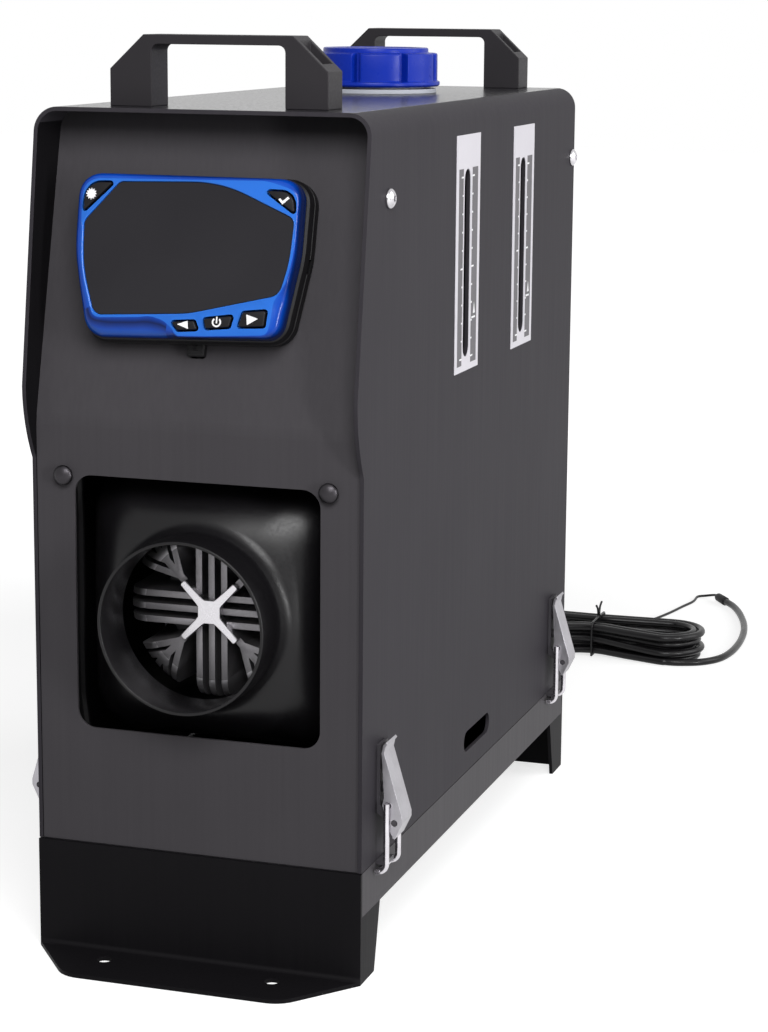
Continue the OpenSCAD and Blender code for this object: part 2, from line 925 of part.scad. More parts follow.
module combustion_impeller() {
    color("#d8d6d2")
        difference() {
            union() {
                pin_y(0, axis_z, motor_y0 + 3, motor_y0 + 5, tube_r);
                pin_y(0, axis_z, motor_y0 + 3, motor_y0 + 13, 2 * shaft_r);
                for (i = [0 : 7])
                    translate([0, motor_y0 + 4, axis_z])
                        rotate([0, i * 45, 0])
                            translate([7, 0, -0.7])
                                cube([tube_r - 8, 8.4, 1.4]);
            }
            pin_y(0, axis_z, motor_y0, motor_y0 + 20, shaft_r);
        }
}

module intake_grille() {
    color("#242325")
        difference() {
            union() {
                difference() {
                    pin_y(0, axis_z, jacket_y1, yr - panel_back, grille_r);
                    pin_y(0, axis_z, jacket_y1 - 1, yr + 3, grille_r - 2);
                }
                difference() {
                    pin_y(0, axis_z, yr - panel_back, yr + 1.5, grille_r + 5);
                    pin_y(0, axis_z, yr - panel_back - 1, yr + 3, grille_r - 2);
                }
                for (r = [12, 21, 30, 39])
                    difference() {
                        pin_y(0, axis_z, yr - panel_back, yr + 1, r + 1);
                        pin_y(0, axis_z, yr - panel_back - 1, yr + 2, r - 1);
                    }
                for (a = [0 : 45 : 135])
                    translate([0, yr - 0.3, axis_z])
                        rotate([0, a, 0])
                            cube([2 * grille_r - 2, 2, 2], center = true);
            }
        }
}

// Below the jacket: bridge, pipes, pump and control unit

bridge_top = axis_z - jacket_w / 2;
bridge_y0 = exhaust_y - 26;

module mounting_bridge() {
    y0 = bridge_y0;
    l = air_y - exhaust_y + 52;
    color("#8c8a8d")
        difference() {
            union() {
                translate([-50, y0, bridge_top - 2])
                    cube([100, l, 2]);
                for (x = [-50, 48])
                    translate([x, y0, tray_floor])
                        cube([2, l, bridge_top - tray_floor]);
                for (x = [-50, 38])
                    translate([x, y0, tray_floor])
                        cube([12, l, 2]);
            }
            translate([pipe_x, exhaust_y, 60])
                cylinder(h = 60, r = exhaust_r + 0.2);
            translate([pipe_x, air_y, 60])
                cylinder(h = 60, r = air_r + 0.2);
            translate([feed_hole.x, feed_hole.y, 60])
                cylinder(h = 60, r = 3);
        }
}

stub_z = 12;

module exhaust_pipe() {
    color("#9a9890")
        difference() {
            union() {
                translate([pipe_x, exhaust_y, stub_z])
                    cylinder(h = foot_block_z + 15 - stub_z, r = exhaust_r);
                translate([pipe_x, exhaust_y, stub_z])
                    cylinder(h = foot_h - 2 - stub_z, r = exhaust_r + 0.5);
                translate([pipe_x, exhaust_y, tray_floor])
                    cylinder(h = 2, r = exhaust_r + 7);
            }
            translate([pipe_x, exhaust_y, stub_z - 1])
                cylinder(h = 120, r = exhaust_r - 1.5);
        }
}

module combustion_air_pipe() {
    color("#1f1e20")
        difference() {
            union() {
                translate([pipe_x, air_y, stub_z])
                    cylinder(h = foot_block_z + 12 - stub_z, r = air_r);
                translate([pipe_x, air_y, stub_z])
                    cylinder(h = foot_h - 2 - stub_z, r = air_r + 0.5);
                translate([pipe_x, air_y, tray_floor])
                    cylinder(h = 2, r = air_r + 7);
            }
            translate([pipe_x, air_y, stub_z - 1])
                cylinder(h = 120, r = air_r - 1.5);
        }
}

pump_x = -42;
pump_z = 58;
pump_l = 76;
pump_y0 = bridge_y0 - 26.25 - pump_l;
unit_y0 = yf + 40;

module fuel_pump() {
    color("#b9b7ba") {
        pin_y(pump_x, pump_z, pump_y0 + 12, pump_y0 + pump_l - 12, 13);
        pin_y(pump_x, pump_z, pump_y0, pump_y0 + pump_l, 3);
    }
}

module pump_mount() {
    color("#2b2a2c")
        difference() {
            translate([pump_x - 18, pump_y0 + 0.316 * pump_l, tray_floor])
                cube([36, 0.342 * pump_l, pump_z - tray_floor + 10]);
            pin_y(pump_x, pump_z, pump_y0, pump_y0 + pump_l, 13.1);
        }
}

module control_unit() {
    color("#1c1b1d") {
        translate([6, unit_y0, tray_floor])
            cube([56, bridge_y0 - 20.25 - unit_y0, 22]);
        translate([18, unit_y0 - 4, tray_floor + 4])
            cube([30, 5, 14]);
    }
}

// Tubes swept along a route

function bend(a, b, c, d, t) = 0.5 * ((2 * b) + (c - a) * t + (2 * a - 5 * b + 4 * c - d) * t * t
    + (3 * b - a - 3 * c + d) * t * t * t);
function spline(p, n) = [for (i = [0 : len(p) - 2]) for (k = [0 : n - 1])
    bend(p[max(i - 1, 0)], p[i], p[i + 1], p[min(i + 2, len(p) - 1)], k / n), p[len(p) - 1]];
function unit(v) = v / norm(v);
function heading(p, i) = unit(p[min(i + 1, len(p) - 1)] - p[max(i - 1, 0)]);
function ring(c, t, r, n) = let (s = unit(cross(t, abs(t.z) > 0.98 ? [1, 0, 0] : [0, 0, 1])), u = cross(s, t))
    [for (k = [0 : n - 1]) c + r * (cos(360 * (k + 0.5) / n) * s + sin(360 * (k + 0.5) / n) * u)];

module tube(p, r, n) {
    m = len(p);
    polyhedron(
        points = [for (i = [0 : m - 1]) each ring(p[i], heading(p, i), r, n)],
        faces = concat(
            [[for (k = [0 : n - 1]) k]],
            [for (i = [0 : m - 2], k = [0 : n - 1]) [i * n + k, (i + 1) * n + k, (i + 1) * n + (k + 1) % n]],
            [for (i = [0 : m - 2], k = [0 : n - 1]) [i * n + k, (i + 1) * n + (k + 1) % n, i * n + (k + 1) % n]],
            [[for (k = [n - 1 : -1 : 0]) (m - 1) * n + k]]));
}

// The lead runs from the controller down behind the front panel to the control unit
function off_panel(x, s, n) = let (t = s + lcd_up)
    [x, yf + panel_back + t * sin(panel_tilt) - n * cos(panel_tilt),
        fold_z + t * cos(panel_tilt) + n * sin(panel_tilt)];
lead_x = (jacket_w / 2 + inner_x) / 2;
lead_y = yf + 28;
lead_route = [off_panel(lead_slot.x, 39, 3.5), off_panel(lead_slot.x, 35.6, 3.5),
    off_panel(lead_slot.x, 32.4, 0.6), off_panel(lead_slot.x, 30.8, -4), [2, yf + 17, 262 + 0.97 * lcd_up], [10, yf + 23, 256 + 0.8 * lcd_up],
    [26, yf + 26, 249 + 0.5 * lcd_up], [44, yf + 27, 241 + 0.2 * lcd_up],
    [58, lead_y, 231], [lead_x, lead_y, 214], [lead_x, lead_y, 190], [lead_x, lead_y, 160],
    [lead_x, lead_y, 130], [lead_x, lead_y, 102], [62, lead_y - 1, 82], [53, lead_y - 3, 64],
    [42, lead_y - 4, 50], [34.5, lead_y - 1, 43.5], [33, yf + 36, 43]];

module controller_lead() {
    color("#171618")
        tube(spline(lead_route, 2), 2.1, 8);
}

feed_route = [[-50, tank_y0 + 8, tank_z + 12], [-50, tank_y0 - 6, tank_z + 12], [-52, yf + 31, 246],
    [-58, lead_y, 235], [-lead_x, lead_y, 218], [-lead_x, lead_y, 190], [-lead_x, lead_y, 150],
    [-lead_x, lead_y, 110], [-62, lead_y + 1, 84], [-52, lead_y + 4, 66], [-44, lead_y + 10, 59],
    [pump_x, pump_y0, pump_z]];
pump_out = pump_y0 + pump_l + 12;
function beyond(t) = pump_out + (feed_hole.y - pump_out) * t;
delivery_route = [[pump_x, pump_y0 + pump_l, pump_z], [pump_x, pump_out, pump_z],
    [-38, beyond(0.146), 57], [-33, beyond(0.353), 58], [-28, beyond(0.638), 60], [-16, beyond(0.845), 62],
    [0, beyond(0.961), 66], [11, beyond(1), 74], [feed_hole.x, beyond(1), 86],
    [feed_hole.x, feed_hole.y, foot_block_z]];

module fuel_lines() {
    color("#3a3a34") {
        tube(spline(feed_route, 2), 2.5, 8);
        tube(spline(delivery_route, 2), 2.5, 8);
    }
}

// Latches

latch_y = [yf + 25.9, yr - 29];
hinge_z = seam_z + hinge_up;
hinge_x = side_x + hinge_out;
pivot = [-2.9, 7.6];
bar = [1.8 - hinge_out, -3.7 - hinge_up];
hook_r = pivot.x - bar.x;
cheek_in = lever_w / 2 - lever_t;
bail_half = lever_w / 2 + bail_d / 2 + seat;
play = 0.2;

// Draws a piece at one latch: its own x is out of the case, y along it, z up, from the hinge
module at_latch(side, y) {
    mirror([side < 0 ? 1 : 0, 0, 0])
        translate([hinge_x, y, hinge_z])
            children();
}

module latch_base() {
    wide = cheek_in - seat;
    x0 = -hinge_out;
    union() {
        union() {
            translate([x0, -wide, 3.4])
                cube([1.5, 2 * wide, 30.6]);
            for (y = [-wide, wide - lever_t])
                translate([0, y + lever_t, 0])
                    rotate([90, 0, 0])
                        linear_extrude(lever_t) {
                            polygon([[x0, 3.4], [x0, 9], [-2.6, 2], [0, 2], [0, -2], [-1.4, -1.2]]);
                            circle(2);
                        }
            rotate([90, 0, 0])
                cylinder(h = lever_w, r = bail_d / 2, center = true);
        }
    }
    for (z = [14, 24])
        translate([x0 + 1.5, 0, z])
            rotate([0, 90, 0])
                cylinder(h = 0.9, r = 2.4);
}

module latch_bases() {
    color("#b5b2b7")
        for (side = [-1, 1], y = latch_y)
            at_latch(side, y)
                latch_base();
}

tongue_z = bar.y + bail_d / 2 + 0.7;

module latch_catches() {
    x0 = -hinge_out;
    color("#b5b2b7")
        for (side = [-1, 1], y = latch_y)
            at_latch(side, y) {
                translate([x0, -5.5, tongue_z])
                    cube([4.6, 11, -hinge_up - tongue_z]);
                translate([x0 + 3.8, -5.5, tongue_z - 0.2])
                    cube([0.8, 11, 1]);
            }
}

module lever_sheet() {
    polygon([[-5.9, 31], [-4.7, 30.6], [3.6, 2.6], [3.6, 0], [0.2, -7.2], [-0.9, -6.6], [2.4, 0],
        [2.4, 2.2], [-6.1, 30.4]]);
    polygon([[-6.1, 30.4], [-5.9, 31], [-5.2, 34.2], [-3.9, 35.6], [-3.2, 34.7], [-4.1, 33.6], [-4.7, 30.6]]);
}

module lever_cheek() {
    polygon([[-5.9, 30], [-4.7, 10.8], [-5.5, 7.8], [-4.9, 5.4], [-2.6, 0.5], [-2.4, -3.4], [-0.6, -6.2],
        [0.2, -6.6], [3.2, -0.2], [3.2, 2.4], [-4.9, 30]]);
}

module lever() {
    difference() {
        union() {
            translate([0, lever_w / 2, 0])
                rotate([90, 0, 0])
                    linear_extrude(lever_w)
                        lever_sheet();
            for (y = [-lever_w / 2, cheek_in])
                translate([0, y + lever_t, 0])
                    rotate([90, 0, 0])
                        linear_extrude(lever_t)
                            lever_cheek();
        }
        rotate([90, 0, 0])
            cylinder(h = lever_w + 4, r = bail_d / 2 + play, center = true);
        translate([pivot.x, 0, pivot.y])
            rotate([90, 0, 0])
                cylinder(h = lever_w + 4, r = bail_d / 2 + play, center = true);
    }
}

// The wire runs down from the lever's cheeks, bends in towards the case and crosses under the catch
module bail() {
    knee_z = bar.y + hook_r;
    for (s = [-1, 1]) {
        translate([pivot.x, s * bail_half, knee_z])
            cylinder(h = pivot.y + bail_d / 2 - knee_z, r = bail_d / 2);
        translate([bar.x, s * bail_half, knee_z])
            intersection() {
                rotate([90, 0, 0])
                    rotate_extrude()
                        translate([hook_r, 0])
                            circle(bail_d / 2);
                translate([0, -bail_d, -2 * hook_r])
                    cube([2 * hook_r, 2 * bail_d, 2 * hook_r]);
            }
        translate([pivot.x, s * (cheek_in + 0.1), pivot.y])
            rotate([s * -90, 0, 0])
                cylinder(h = bail_half - cheek_in, r = bail_d / 2);
    }
    translate([bar.x, 0, bar.y])
        rotate([90, 0, 0])
            cylinder(h = 2 * bail_half + bail_d + 0.3, r = bail_d / 2 + 0.05, center = true);
}

module lever_front_right() color("#cfccd2") at_latch(1, latch_y[0]) lever();
module lever_rear_right() color("#cfccd2") at_latch(1, latch_y[1]) lever();
module lever_front_left() color("#cfccd2") at_latch(-1, latch_y[0]) lever();
module lever_rear_left() color("#cfccd2") at_latch(-1, latch_y[1]) lever();
module bail_front_right() color("#d8d5da") at_latch(1, latch_y[0]) bail();
module bail_rear_right() color("#d8d5da") at_latch(1, latch_y[1]) bail();
module bail_front_left() color("#d8d5da") at_latch(-1, latch_y[0]) bail();
module bail_rear_left() color("#d8d5da") at_latch(-1, latch_y[1]) bail();

// Supply cord: gland, lead, hank, tie, tail, sleeve and the thin signal wire with its plug

module cable_gland() {
    color("#171618")
        difference() {
            union() {
                pin_y(gland_x, gland_z, yr - 12, yr - panel_back, gland_r);
                pin_y(gland_x, gland_z, yr - panel_back, yr + 2, 9.5);
                translate([gland_x, yr + 2, gland_z])
                    rotate([-90, 0, 0])
                        cylinder(h = gland_nose, r1 = gland_r, r2 = cord_d / 2 + 1.2);
            }
            pin_y(gland_x, gland_z, yr - 13, yr + gland_nose + 3, cord_d / 2 + 0.1);
        }
}

lay_z = cord_d / 2 + 0.05;
hank_at = [34, yr + 258];
hank_half = hank_run / 2;
hank_in = 3 * cord_d;
hank_step = cord_d + 0.55;
hank_pitch = cord_d + 0.45;
hank_waist = 8;
hank_lift = 1.6;
hank_rings = 24;
hank_last = hank_rings * hank_turns * hank_layers + 4;

// Turns from the inside of the spiral, and the layer that a ring lies on, from the top
function hank_spiral(i) = let (n = hank_rings * hank_turns, k = max(0, min(hank_layers - 1, floor((i - 2) / n))))
    k % 2 == 0 ? (n * (k + 1) + 2 - i) / hank_rings : (i - 2 - n * k) / hank_rings;
function hank_layer(i) = let (n = hank_rings * hank_turns, k = floor(i / n), j = i - k * n)
    k == 0 ? 0 : k >= hank_layers ? hank_layers - 1 : k - 1 + min(1, j / 4);
function waist(x) = (1 + cos(180 * x / hank_half)) / 2;
function hank_ring(i) = let (r = hank_in + hank_step * hank_spiral(i), j = i % hank_rings,
    a = j < 4 ? 0 : j < 12 ? (j - 4) * 22.5 : j < 16 ? 180 : 180 + (j - 16) * 22.5,
    x = j < 4 ? -hank_half + hank_run * j / 4 : j < 12 ? hank_half
        : j < 16 ? hank_half - hank_run * (j - 12) / 4 : -hank_half,
    w = j < 4 || (j >= 12 && j < 16) ? waist(x) : 0)
    [hank_at.x + x + r * sin(a), hank_at.y - (r - hank_waist * w) * cos(a),
        lay_z + hank_lift * w + hank_pitch * (hank_layers - 1 - hank_layer(i))];
hank_path = concat([hank_ring(0) - [cord_d, 0, 0]], [for (i = [0 : hank_last]) hank_ring(i)],
    [hank_ring(hank_last) + [cord_d, 0, 0]]);

// Least distance between two straight pieces of a path
function clamp(v) = max(0, min(1, v));
function apart(p, q, a, b) = let (d = q - p, e = b - a, r = p - a, dd = d * d, ee = e * e, de = d * e,
    dr = d * r, er = e * r, m = dd * ee - de * de,
    s0 = m > 1e-9 ? clamp((de * er - dr * ee) / m) : 0, t0 = (de * s0 + er) / ee,
    s = t0 < 0 ? clamp(-dr / dd) : t0 > 1 ? clamp((de - dr) / dd) : s0, t = clamp(t0))
    norm(p + d * s - a - e * t);
function least_gap(p, skip) = min([for (i = [0 : len(p) - 2 - skip], j = [i + skip : len(p) - 2])
    abs(p[i].z - p[j].z) > 12 ? 99 : apart(p[i], p[i + 1], p[j], p[j + 1])]);
function path_length(p) = len(p) < 2 ? 0 : [for (i = [1 : len(p) - 1]) norm(p[i] - p[i - 1])]
    * [for (i = [1 : len(p) - 1]) 1];

module cord_hank() {
    echo(hank_gap = least_gap(hank_path, 4) - cord_d, hank_length = path_length(hank_path));
    color("#1b1a1c")
        tube(hank_path, cord_d / 2, 6);
}

hank_start = hank_path[0];
hank_end = hank_path[len(hank_path) - 1];
lead_points = [[gland_x, yr - 8, gland_z], [gland_x, yr + 8, gland_z], [gland_x, yr + 24, gland_z],
    [gland_x, yr + 38, 72.4], [gland_x - 1, yr + 50, 66], [gland_x - 2, yr + 60, 54], [gland_x - 3, yr + 67, 40],
    [gland_x - 5, yr + 74, 26], [gland_x - 7, yr + 83, 14], [gland_x - 11, yr + 97, 5.4],
    [gland_x - 16, yr + 114, lay_z],
    [gland_x - 22, yr + 137, lay_z], [gland_x - 27, yr + 163, lay_z], [gland_x - 28, yr + 188, 2.6],
    [gland_x - 25, yr + 209, 5.4], [gland_x - 15, yr + 225, 10.4], [gland_x + 0, hank_start.y - 1.4, 15.4],
    hank_start];
tail_points = [hank_end, [92, hank_end.y + 0.8, lay_z], [105, yr + 241, lay_z], [114, yr + 253, lay_z],
    [118, yr + 270, lay_z], [119, yr + 291, lay_z], [118, yr + 314, lay_z], [115, yr + 338, lay_z],
    [110, yr + 361, lay_z], [103, yr + 384, lay_z], [96, yr + 400, 2.7], [89, yr + 410, 3.1]];
sleeve_r = 3;
sleeve_l = 15;
sleeve_dir = unit(tail_points[11] - tail_points[10]);
sleeve_at = tail_points[11];
wire_z = wire_d / 2 + 0.05;
wire_start = sleeve_at + sleeve_l * sleeve_dir;
wire_points = [wire_start, wire_start + 4 * sleeve_dir, wire_start + [-9.5, 7.5, -2], wire_start + [-15, 4, wire_z - 3.2],
    [66, yr + 413, wire_z], [62, yr + 396, wire_z], [58, yr + 376, wire_z], [53, yr + 357, wire_z],
    [47, yr + 340, wire_z], [41, yr + 326, 1.6], [37, yr + 317, 2.6]];

module power_lead() {
    color("#1b1a1c")
        tube(spline(lead_points, 2), cord_d / 2, 10);
}

module cord_tail() {
    color("#1b1a1c")
        tube(spline(tail_points, 2), cord_d / 2, 10);
}

module tail_sleeve() {
    color("#111012")
        translate(sleeve_at)
            rotate([0, 90, atan2(sleeve_dir.y, sleeve_dir.x)])
                rotate([0, -asin(sleeve_dir.z), 0])
                    cylinder(h = sleeve_l, r = sleeve_r);
}

module signal_wire() {
    color("#1b1a1c")
        tube(spline(wire_points, 2), wire_d / 2, 8);
}

plug_dir = unit(wire_points[10] - wire_points[9]);

module wire_plug() {
    color("#1b1a1c")
        translate(wire_points[10])
            rotate(atan2(plug_dir.y, plug_dir.x)) {
                translate([0, -2, 2.6 - wire_points[10].z - 2])
                    cube([4, 4, 4]);
                translate([4, -3.5, 0.1 - wire_points[10].z])
                    cube([12, 7, 5]);
            }
}

tie_d = 1.4;
tie_half = hank_in + hank_step * hank_turns - hank_waist + cord_d / 2 + tie_d / 2 + 0.4;
tie_far = tie_half - hank_step / 2;
tie_top = lay_z + hank_lift + hank_pitch * (hank_layers - 1) + cord_d / 2 + tie_d / 2 + 0.35;
tie_low = tie_d / 2 + 0.05;

module cord_tie() {
    r = 3;
    x = hank_at.x;
    y = hank_at.y;
    color("#1b1a1c")
        tube(concat(
            [[x, y - 7, tie_top + 9], [x, y - 3.5, tie_top + 6.5], [x, y - 1.8, tie_top + 3], [x, y - 3, tie_top + 0.4]],
            [for (p = [[-tie_half, tie_top], [-tie_half, tie_low], [tie_far, tie_low], [tie_far, tie_top]])
                for (k = [0 : 2]) let (i = p.x < 0 ? (p.y > 9 ? 0 : 1) : (p.y < 9 ? 2 : 3))
                    let (c = [p.x - sign(p.x) * r, p.y - (p.y > 9 ? r : -r)], a = 90 + 90 * i + 45 * k)
                        [x, y + c.x + r * cos(a), c.y + r * sin(a)]],
            [[x, y + 3, tie_top + 0.4], [x, y + 1.8, tie_top + 3], [x, y + 3.5, tie_top + 6.5],
                [x, y + 7.5, tie_top + 8.5]]),
            tie_d / 2, 8);
}

cover_shell();
front_panel();
rear_panel();
base_tray();
front_foot();
rear_foot();
front_handle();
rear_handle();
filler_neck();
fuel_cap();
cap_gasket();
fuel_tank();
tank_shelf();
level_labels();
case_screws();
panel_screws();
lcd_housing();
lcd_bezel();
lcd_screen();
key_mode();
key_confirm();
key_left();
key_power();
key_right();
controller_lead();
outlet_hood();
jacket_lower();
jacket_upper();
heat_exchanger();
burner_tube();
glow_plug();
blower_motor();
warm_air_fan();
combustion_impeller();
intake_grille();
control_unit();
mounting_bridge();
exhaust_pipe();
combustion_air_pipe();
fuel_pump();
pump_mount();
fuel_lines();
latch_bases();
latch_catches();
lever_front_right();
lever_rear_right();
lever_front_left();
lever_rear_left();
bail_front_right();
bail_rear_right();
bail_front_left();
bail_rear_left();
cable_gland();
power_lead();
cord_hank();
cord_tail();
tail_sleeve();
signal_wire();
wire_plug();
cord_tie();
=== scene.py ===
# %% [markdown]
# # A boxed fuel air heater, dressed for its photograph
# The real object is a small workshop heater: a dark powder-coated steel case with a blue-framed
# controller, a round warm-air spigot, a blue filler cap, two level windows, four toggle latches and a
# hanked supply cord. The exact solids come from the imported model, and this script gives them their looks.
# Everything is in metres and in one frame: X across, Y from the front to the back, Z up.

# %% Load the frame
import json
from math import acos, asin, atan2, cos, pi, radians, sin, sqrt, tan
import bpy
import bmesh
import numpy as np
from mathutils import Matrix, Vector


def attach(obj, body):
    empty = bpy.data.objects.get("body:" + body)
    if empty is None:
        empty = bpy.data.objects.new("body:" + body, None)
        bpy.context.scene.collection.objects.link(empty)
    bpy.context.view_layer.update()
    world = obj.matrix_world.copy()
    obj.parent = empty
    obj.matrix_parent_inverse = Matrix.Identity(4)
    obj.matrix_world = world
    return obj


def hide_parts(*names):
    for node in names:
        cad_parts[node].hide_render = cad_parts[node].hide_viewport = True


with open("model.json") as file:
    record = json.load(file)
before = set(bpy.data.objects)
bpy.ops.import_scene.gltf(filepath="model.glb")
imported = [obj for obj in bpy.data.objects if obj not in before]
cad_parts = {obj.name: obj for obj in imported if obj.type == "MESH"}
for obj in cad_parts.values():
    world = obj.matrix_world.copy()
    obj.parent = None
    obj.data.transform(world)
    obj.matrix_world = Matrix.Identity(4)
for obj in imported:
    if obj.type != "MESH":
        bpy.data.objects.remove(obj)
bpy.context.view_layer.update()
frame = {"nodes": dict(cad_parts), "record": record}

# %% [markdown]
# The case's main planes are used by many pieces, so they get a name once. They are in millimetres, as on
# the maker's drawing, and `MM` turns them to metres where a mesh is made.

# %% Shared planes
MM = 0.001
FRONT, REAR = -173.25, 173.25          # the two upright foot plates
SIDE, TOP = 75.0, 368.6                # outside of the cover
AXIS_Z = 154.5                         # height of the warm-air axis
PANEL_TILT = radians(13.5)             # lean of the display panel
FOLD_Z = 237.0                         # where the display panel starts to lean
PANEL_SHEET, FOOT_SHEET = 1.5, 1.8     # sheet thickness
CAP_Y = 66.0                           # filler cap
print("case", 2 * SIDE, "x", REAR - FRONT, "x", TOP, "mm")

# %% [markdown]
# ## Camera
# Taken from the front right, a little above the case, with a long lens. Place, turn and focal length were
# fitted to the case's corners, so the render lies over the photograph.

# %% Camera
def photo_camera():
    yaw, pitch, roll = 0.3148403258, 0.1972247696, 0.0077629256
    place, focal_px, photo_rows, sensor = (0.40755, -1.16665, 0.41434), 2593.05, 1032, 36.0
    ahead = Vector((-sin(yaw) * cos(pitch), cos(yaw) * cos(pitch), -sin(pitch)))
    right = Vector((cos(yaw), sin(yaw), 0.0))
    up = right.cross(ahead)
    right, up = right * cos(roll) + up * sin(roll), up * cos(roll) - right * sin(roll)
    data = bpy.data.cameras.new("photo_camera")
    data.sensor_fit, data.sensor_width, data.sensor_height = "AUTO", sensor, sensor
    data.lens = focal_px / photo_rows * sensor
    camera = bpy.data.objects.new("photo_camera", data)
    camera.matrix_world = Matrix.Translation(place) @ Matrix((right, up, -ahead)).transposed().to_4x4()
    bpy.context.scene.collection.objects.link(camera)
    bpy.context.scene.camera = camera
    print("lens", round(data.lens, 2), "mm")


photo_camera()

# %% [markdown]
# ## Small helpers
# Colours are read off the photograph as sRGB hex values, and Blender's sockets want linear numbers.

# %% Colour and node helpers
def srgb(hex_code):
    """Linear RGBA from an sRGB hex value such as '#4a484c'."""
    parts = [int(hex_code[i:i + 2], 16) / 255 for i in (1, 3, 5)]
    return tuple(c / 12.92 if c <= 0.04045 else ((c + 0.055) / 1.055) ** 2.4 for c in parts) + (1.0,)


def in_scene(name, data):
    """A new object in the scene."""
    thing = bpy.data.objects.new(name, data)
    bpy.context.scene.collection.objects.link(thing)
    return thing


def add(tree, kind, sockets=None, **settings):
    """Adds a node of a kind such as "Math", sets its attributes, and sets or links its inputs."""
    prefixes = ("ShaderNode", "GeometryNode", "FunctionNode", "")
    node = tree.nodes.new(next(p + kind for p in prefixes if hasattr(bpy.types, p + kind)))
    for name, value in settings.items():
        setattr(node, name, value)
    for name, value in (sockets or {}).items():
        if isinstance(value, bpy.types.NodeSocket):
            tree.links.new(value, node.inputs[name])
        else:
            node.inputs[name].default_value = value
    return node


def made(tree, kind, sockets=None, **settings):
    """Adds a node and returns its first output."""
    return add(tree, kind, sockets, **settings).outputs[0]


def calc(tree, operation, a, b):
    """One step of arithmetic on sockets or numbers."""
    return made(tree, "Math", {0: a, 1: b}, operation=operation)


print("mid grey reads", [round(c, 3) for c in srgb("#808080")])

# %% [markdown]
# ## Finishes
# Each finish starts from the real material and how its surface was made. `finish` makes the surface
# shader, and `coat` lays the grain, the orange peel or the wear over it at real sizes.

# %% Starting a finish
def finish(name, colour, roughness, metallic=0.0, specular=0.5, ior=None):
    """A principled material; returns the material and its tree."""
    material = bpy.data.materials.new(name)
    material.use_nodes = True
    inputs = material.node_tree.nodes["Principled BSDF"].inputs
    inputs["Base Color"].default_value = srgb(colour)
    inputs["Roughness"].default_value = roughness
    inputs["Metallic"].default_value = metallic
    inputs["Specular IOR Level"].default_value = specular
    if ior:
        inputs["IOR"].default_value = ior
    return material, material.node_tree


def coat(tree, colour=None, roughness=None, normal=None):
    """Links sockets to the surface shader's colour, roughness and normal."""
    shader = tree.nodes["Principled BSDF"]
    for name, socket in (("Base Color", colour), ("Roughness", roughness), ("Normal", normal)):
        if socket is not None:
            tree.links.new(socket, shader.inputs[name])


def grain(tree, size_mm, stretch=(1, 1, 1), detail=2.0):
    """Noise over Object coordinates with a wavelength of about size_mm, drawn out by stretch."""
    place = add(tree, "TexCoord").outputs["Object"]
    scale = tuple(1000.0 / size_mm / s for s in stretch)
    mapped = made(tree, "Mapping", {"Vector": place, "Scale": scale})
    return made(tree, "TexNoise", {"Vector": mapped, "Scale": 1.0, "Detail": detail})


def spread(tree, value, low, high, start=0.3, stop=0.7):
    """Maps a 0 to 1 noise to the range low to high."""
    return made(tree, "MapRange", {"Value": value, "From Min": start, "From Max": stop, "To Min": low,
                                   "To Max": high})


def blend_colours(tree, amount, low, high):
    """Goes from one sRGB hex colour to another as amount goes from 0 to 1."""
    mix = add(tree, "Mix", {0: amount}, data_type="RGBA")
    mix.inputs[6].default_value, mix.inputs[7].default_value = srgb(low), srgb(high)
    return mix.outputs[2]


def bump(tree, height, depth_mm, strength):
    """A bump of a real depth in millimetres."""
    return made(tree, "Bump", {"Height": height, "Distance": depth_mm * MM, "Strength": strength})


print("finish helpers ready")

# %% [markdown]
# **Powder-coated steel.** Charcoal powder, baked to a satin skin with a fine orange peel about 0.8 mm wide,
# drawn at 1.3 mm. Faint upright streaks come from the brushed sheet below, 1.6 mm wide.

# %% Powder coat
def powder_coat(name, dark, light, roughness, specular):
    material, tree = finish(name, light, roughness, specular=specular)
    streak = grain(tree, 1.6, stretch=(1, 1, 60), detail=1.0)
    both = calc(tree, "ADD", grain(tree, 60.0, detail=3.0), streak)
    coat(tree, blend_colours(tree, spread(tree, both, 0, 1, 0.6, 1.4), dark, light),
         spread(tree, streak, roughness - 0.03, roughness + 0.03),
         bump(tree, grain(tree, 1.3, detail=1.0), 0.015, 0.4))
    return material


coat_cover = powder_coat("powder_coated_steel_charcoal", "#302e32", "#343236", 0.5, 0.03)
coat_top = powder_coat("powder_coated_steel_polished", "#161518", "#1a191c", 0.22, 0.2)
coat_panel = powder_coat("powder_coated_steel_graphite", "#3c3a3d", "#403e41", 0.5, 0.08)
# Near-black coat: painted shade on the feet and on the cover's inside faces.
painted_shade_coat = powder_coat("powder_coated_steel_black", "#0f0e10", "#121113", 0.5, 0.05)
latch_black = powder_coat("powder_coated_steel_latch", "#3c3a3e", "#403e42", 0.4, 0.25)
print("powder coats:", coat_cover.name, coat_panel.name, painted_shade_coat.name)

# %% [markdown]
# ** Moulded plastics.** Handles, hood and housings are black nylon and ABS with a spark-eroded texture of
# about 0.4 mm, drawn at 0.9 mm. The controller's frame is polished blue ABS with painted shade down its lip
# and flank and a painted highlight in its scoop, and the cap is blue polypropylene.

# %% Moulded plastics
def moulded(name, colour, roughness, texture_mm=0.9, depth_mm=0.02, specular=0.4, shade="#000000"):
    material, tree = finish(name, colour, roughness, specular=specular, ior=1.5)
    cloud = spread(tree, grain(tree, 25.0), 0.0, 0.12)
    fine = grain(tree, texture_mm, detail=1.0)
    coat(tree, blend_colours(tree, cloud, colour, shade),
         spread(tree, fine, roughness - 0.04, roughness + 0.05), bump(tree, fine, depth_mm, 0.5))
    return material


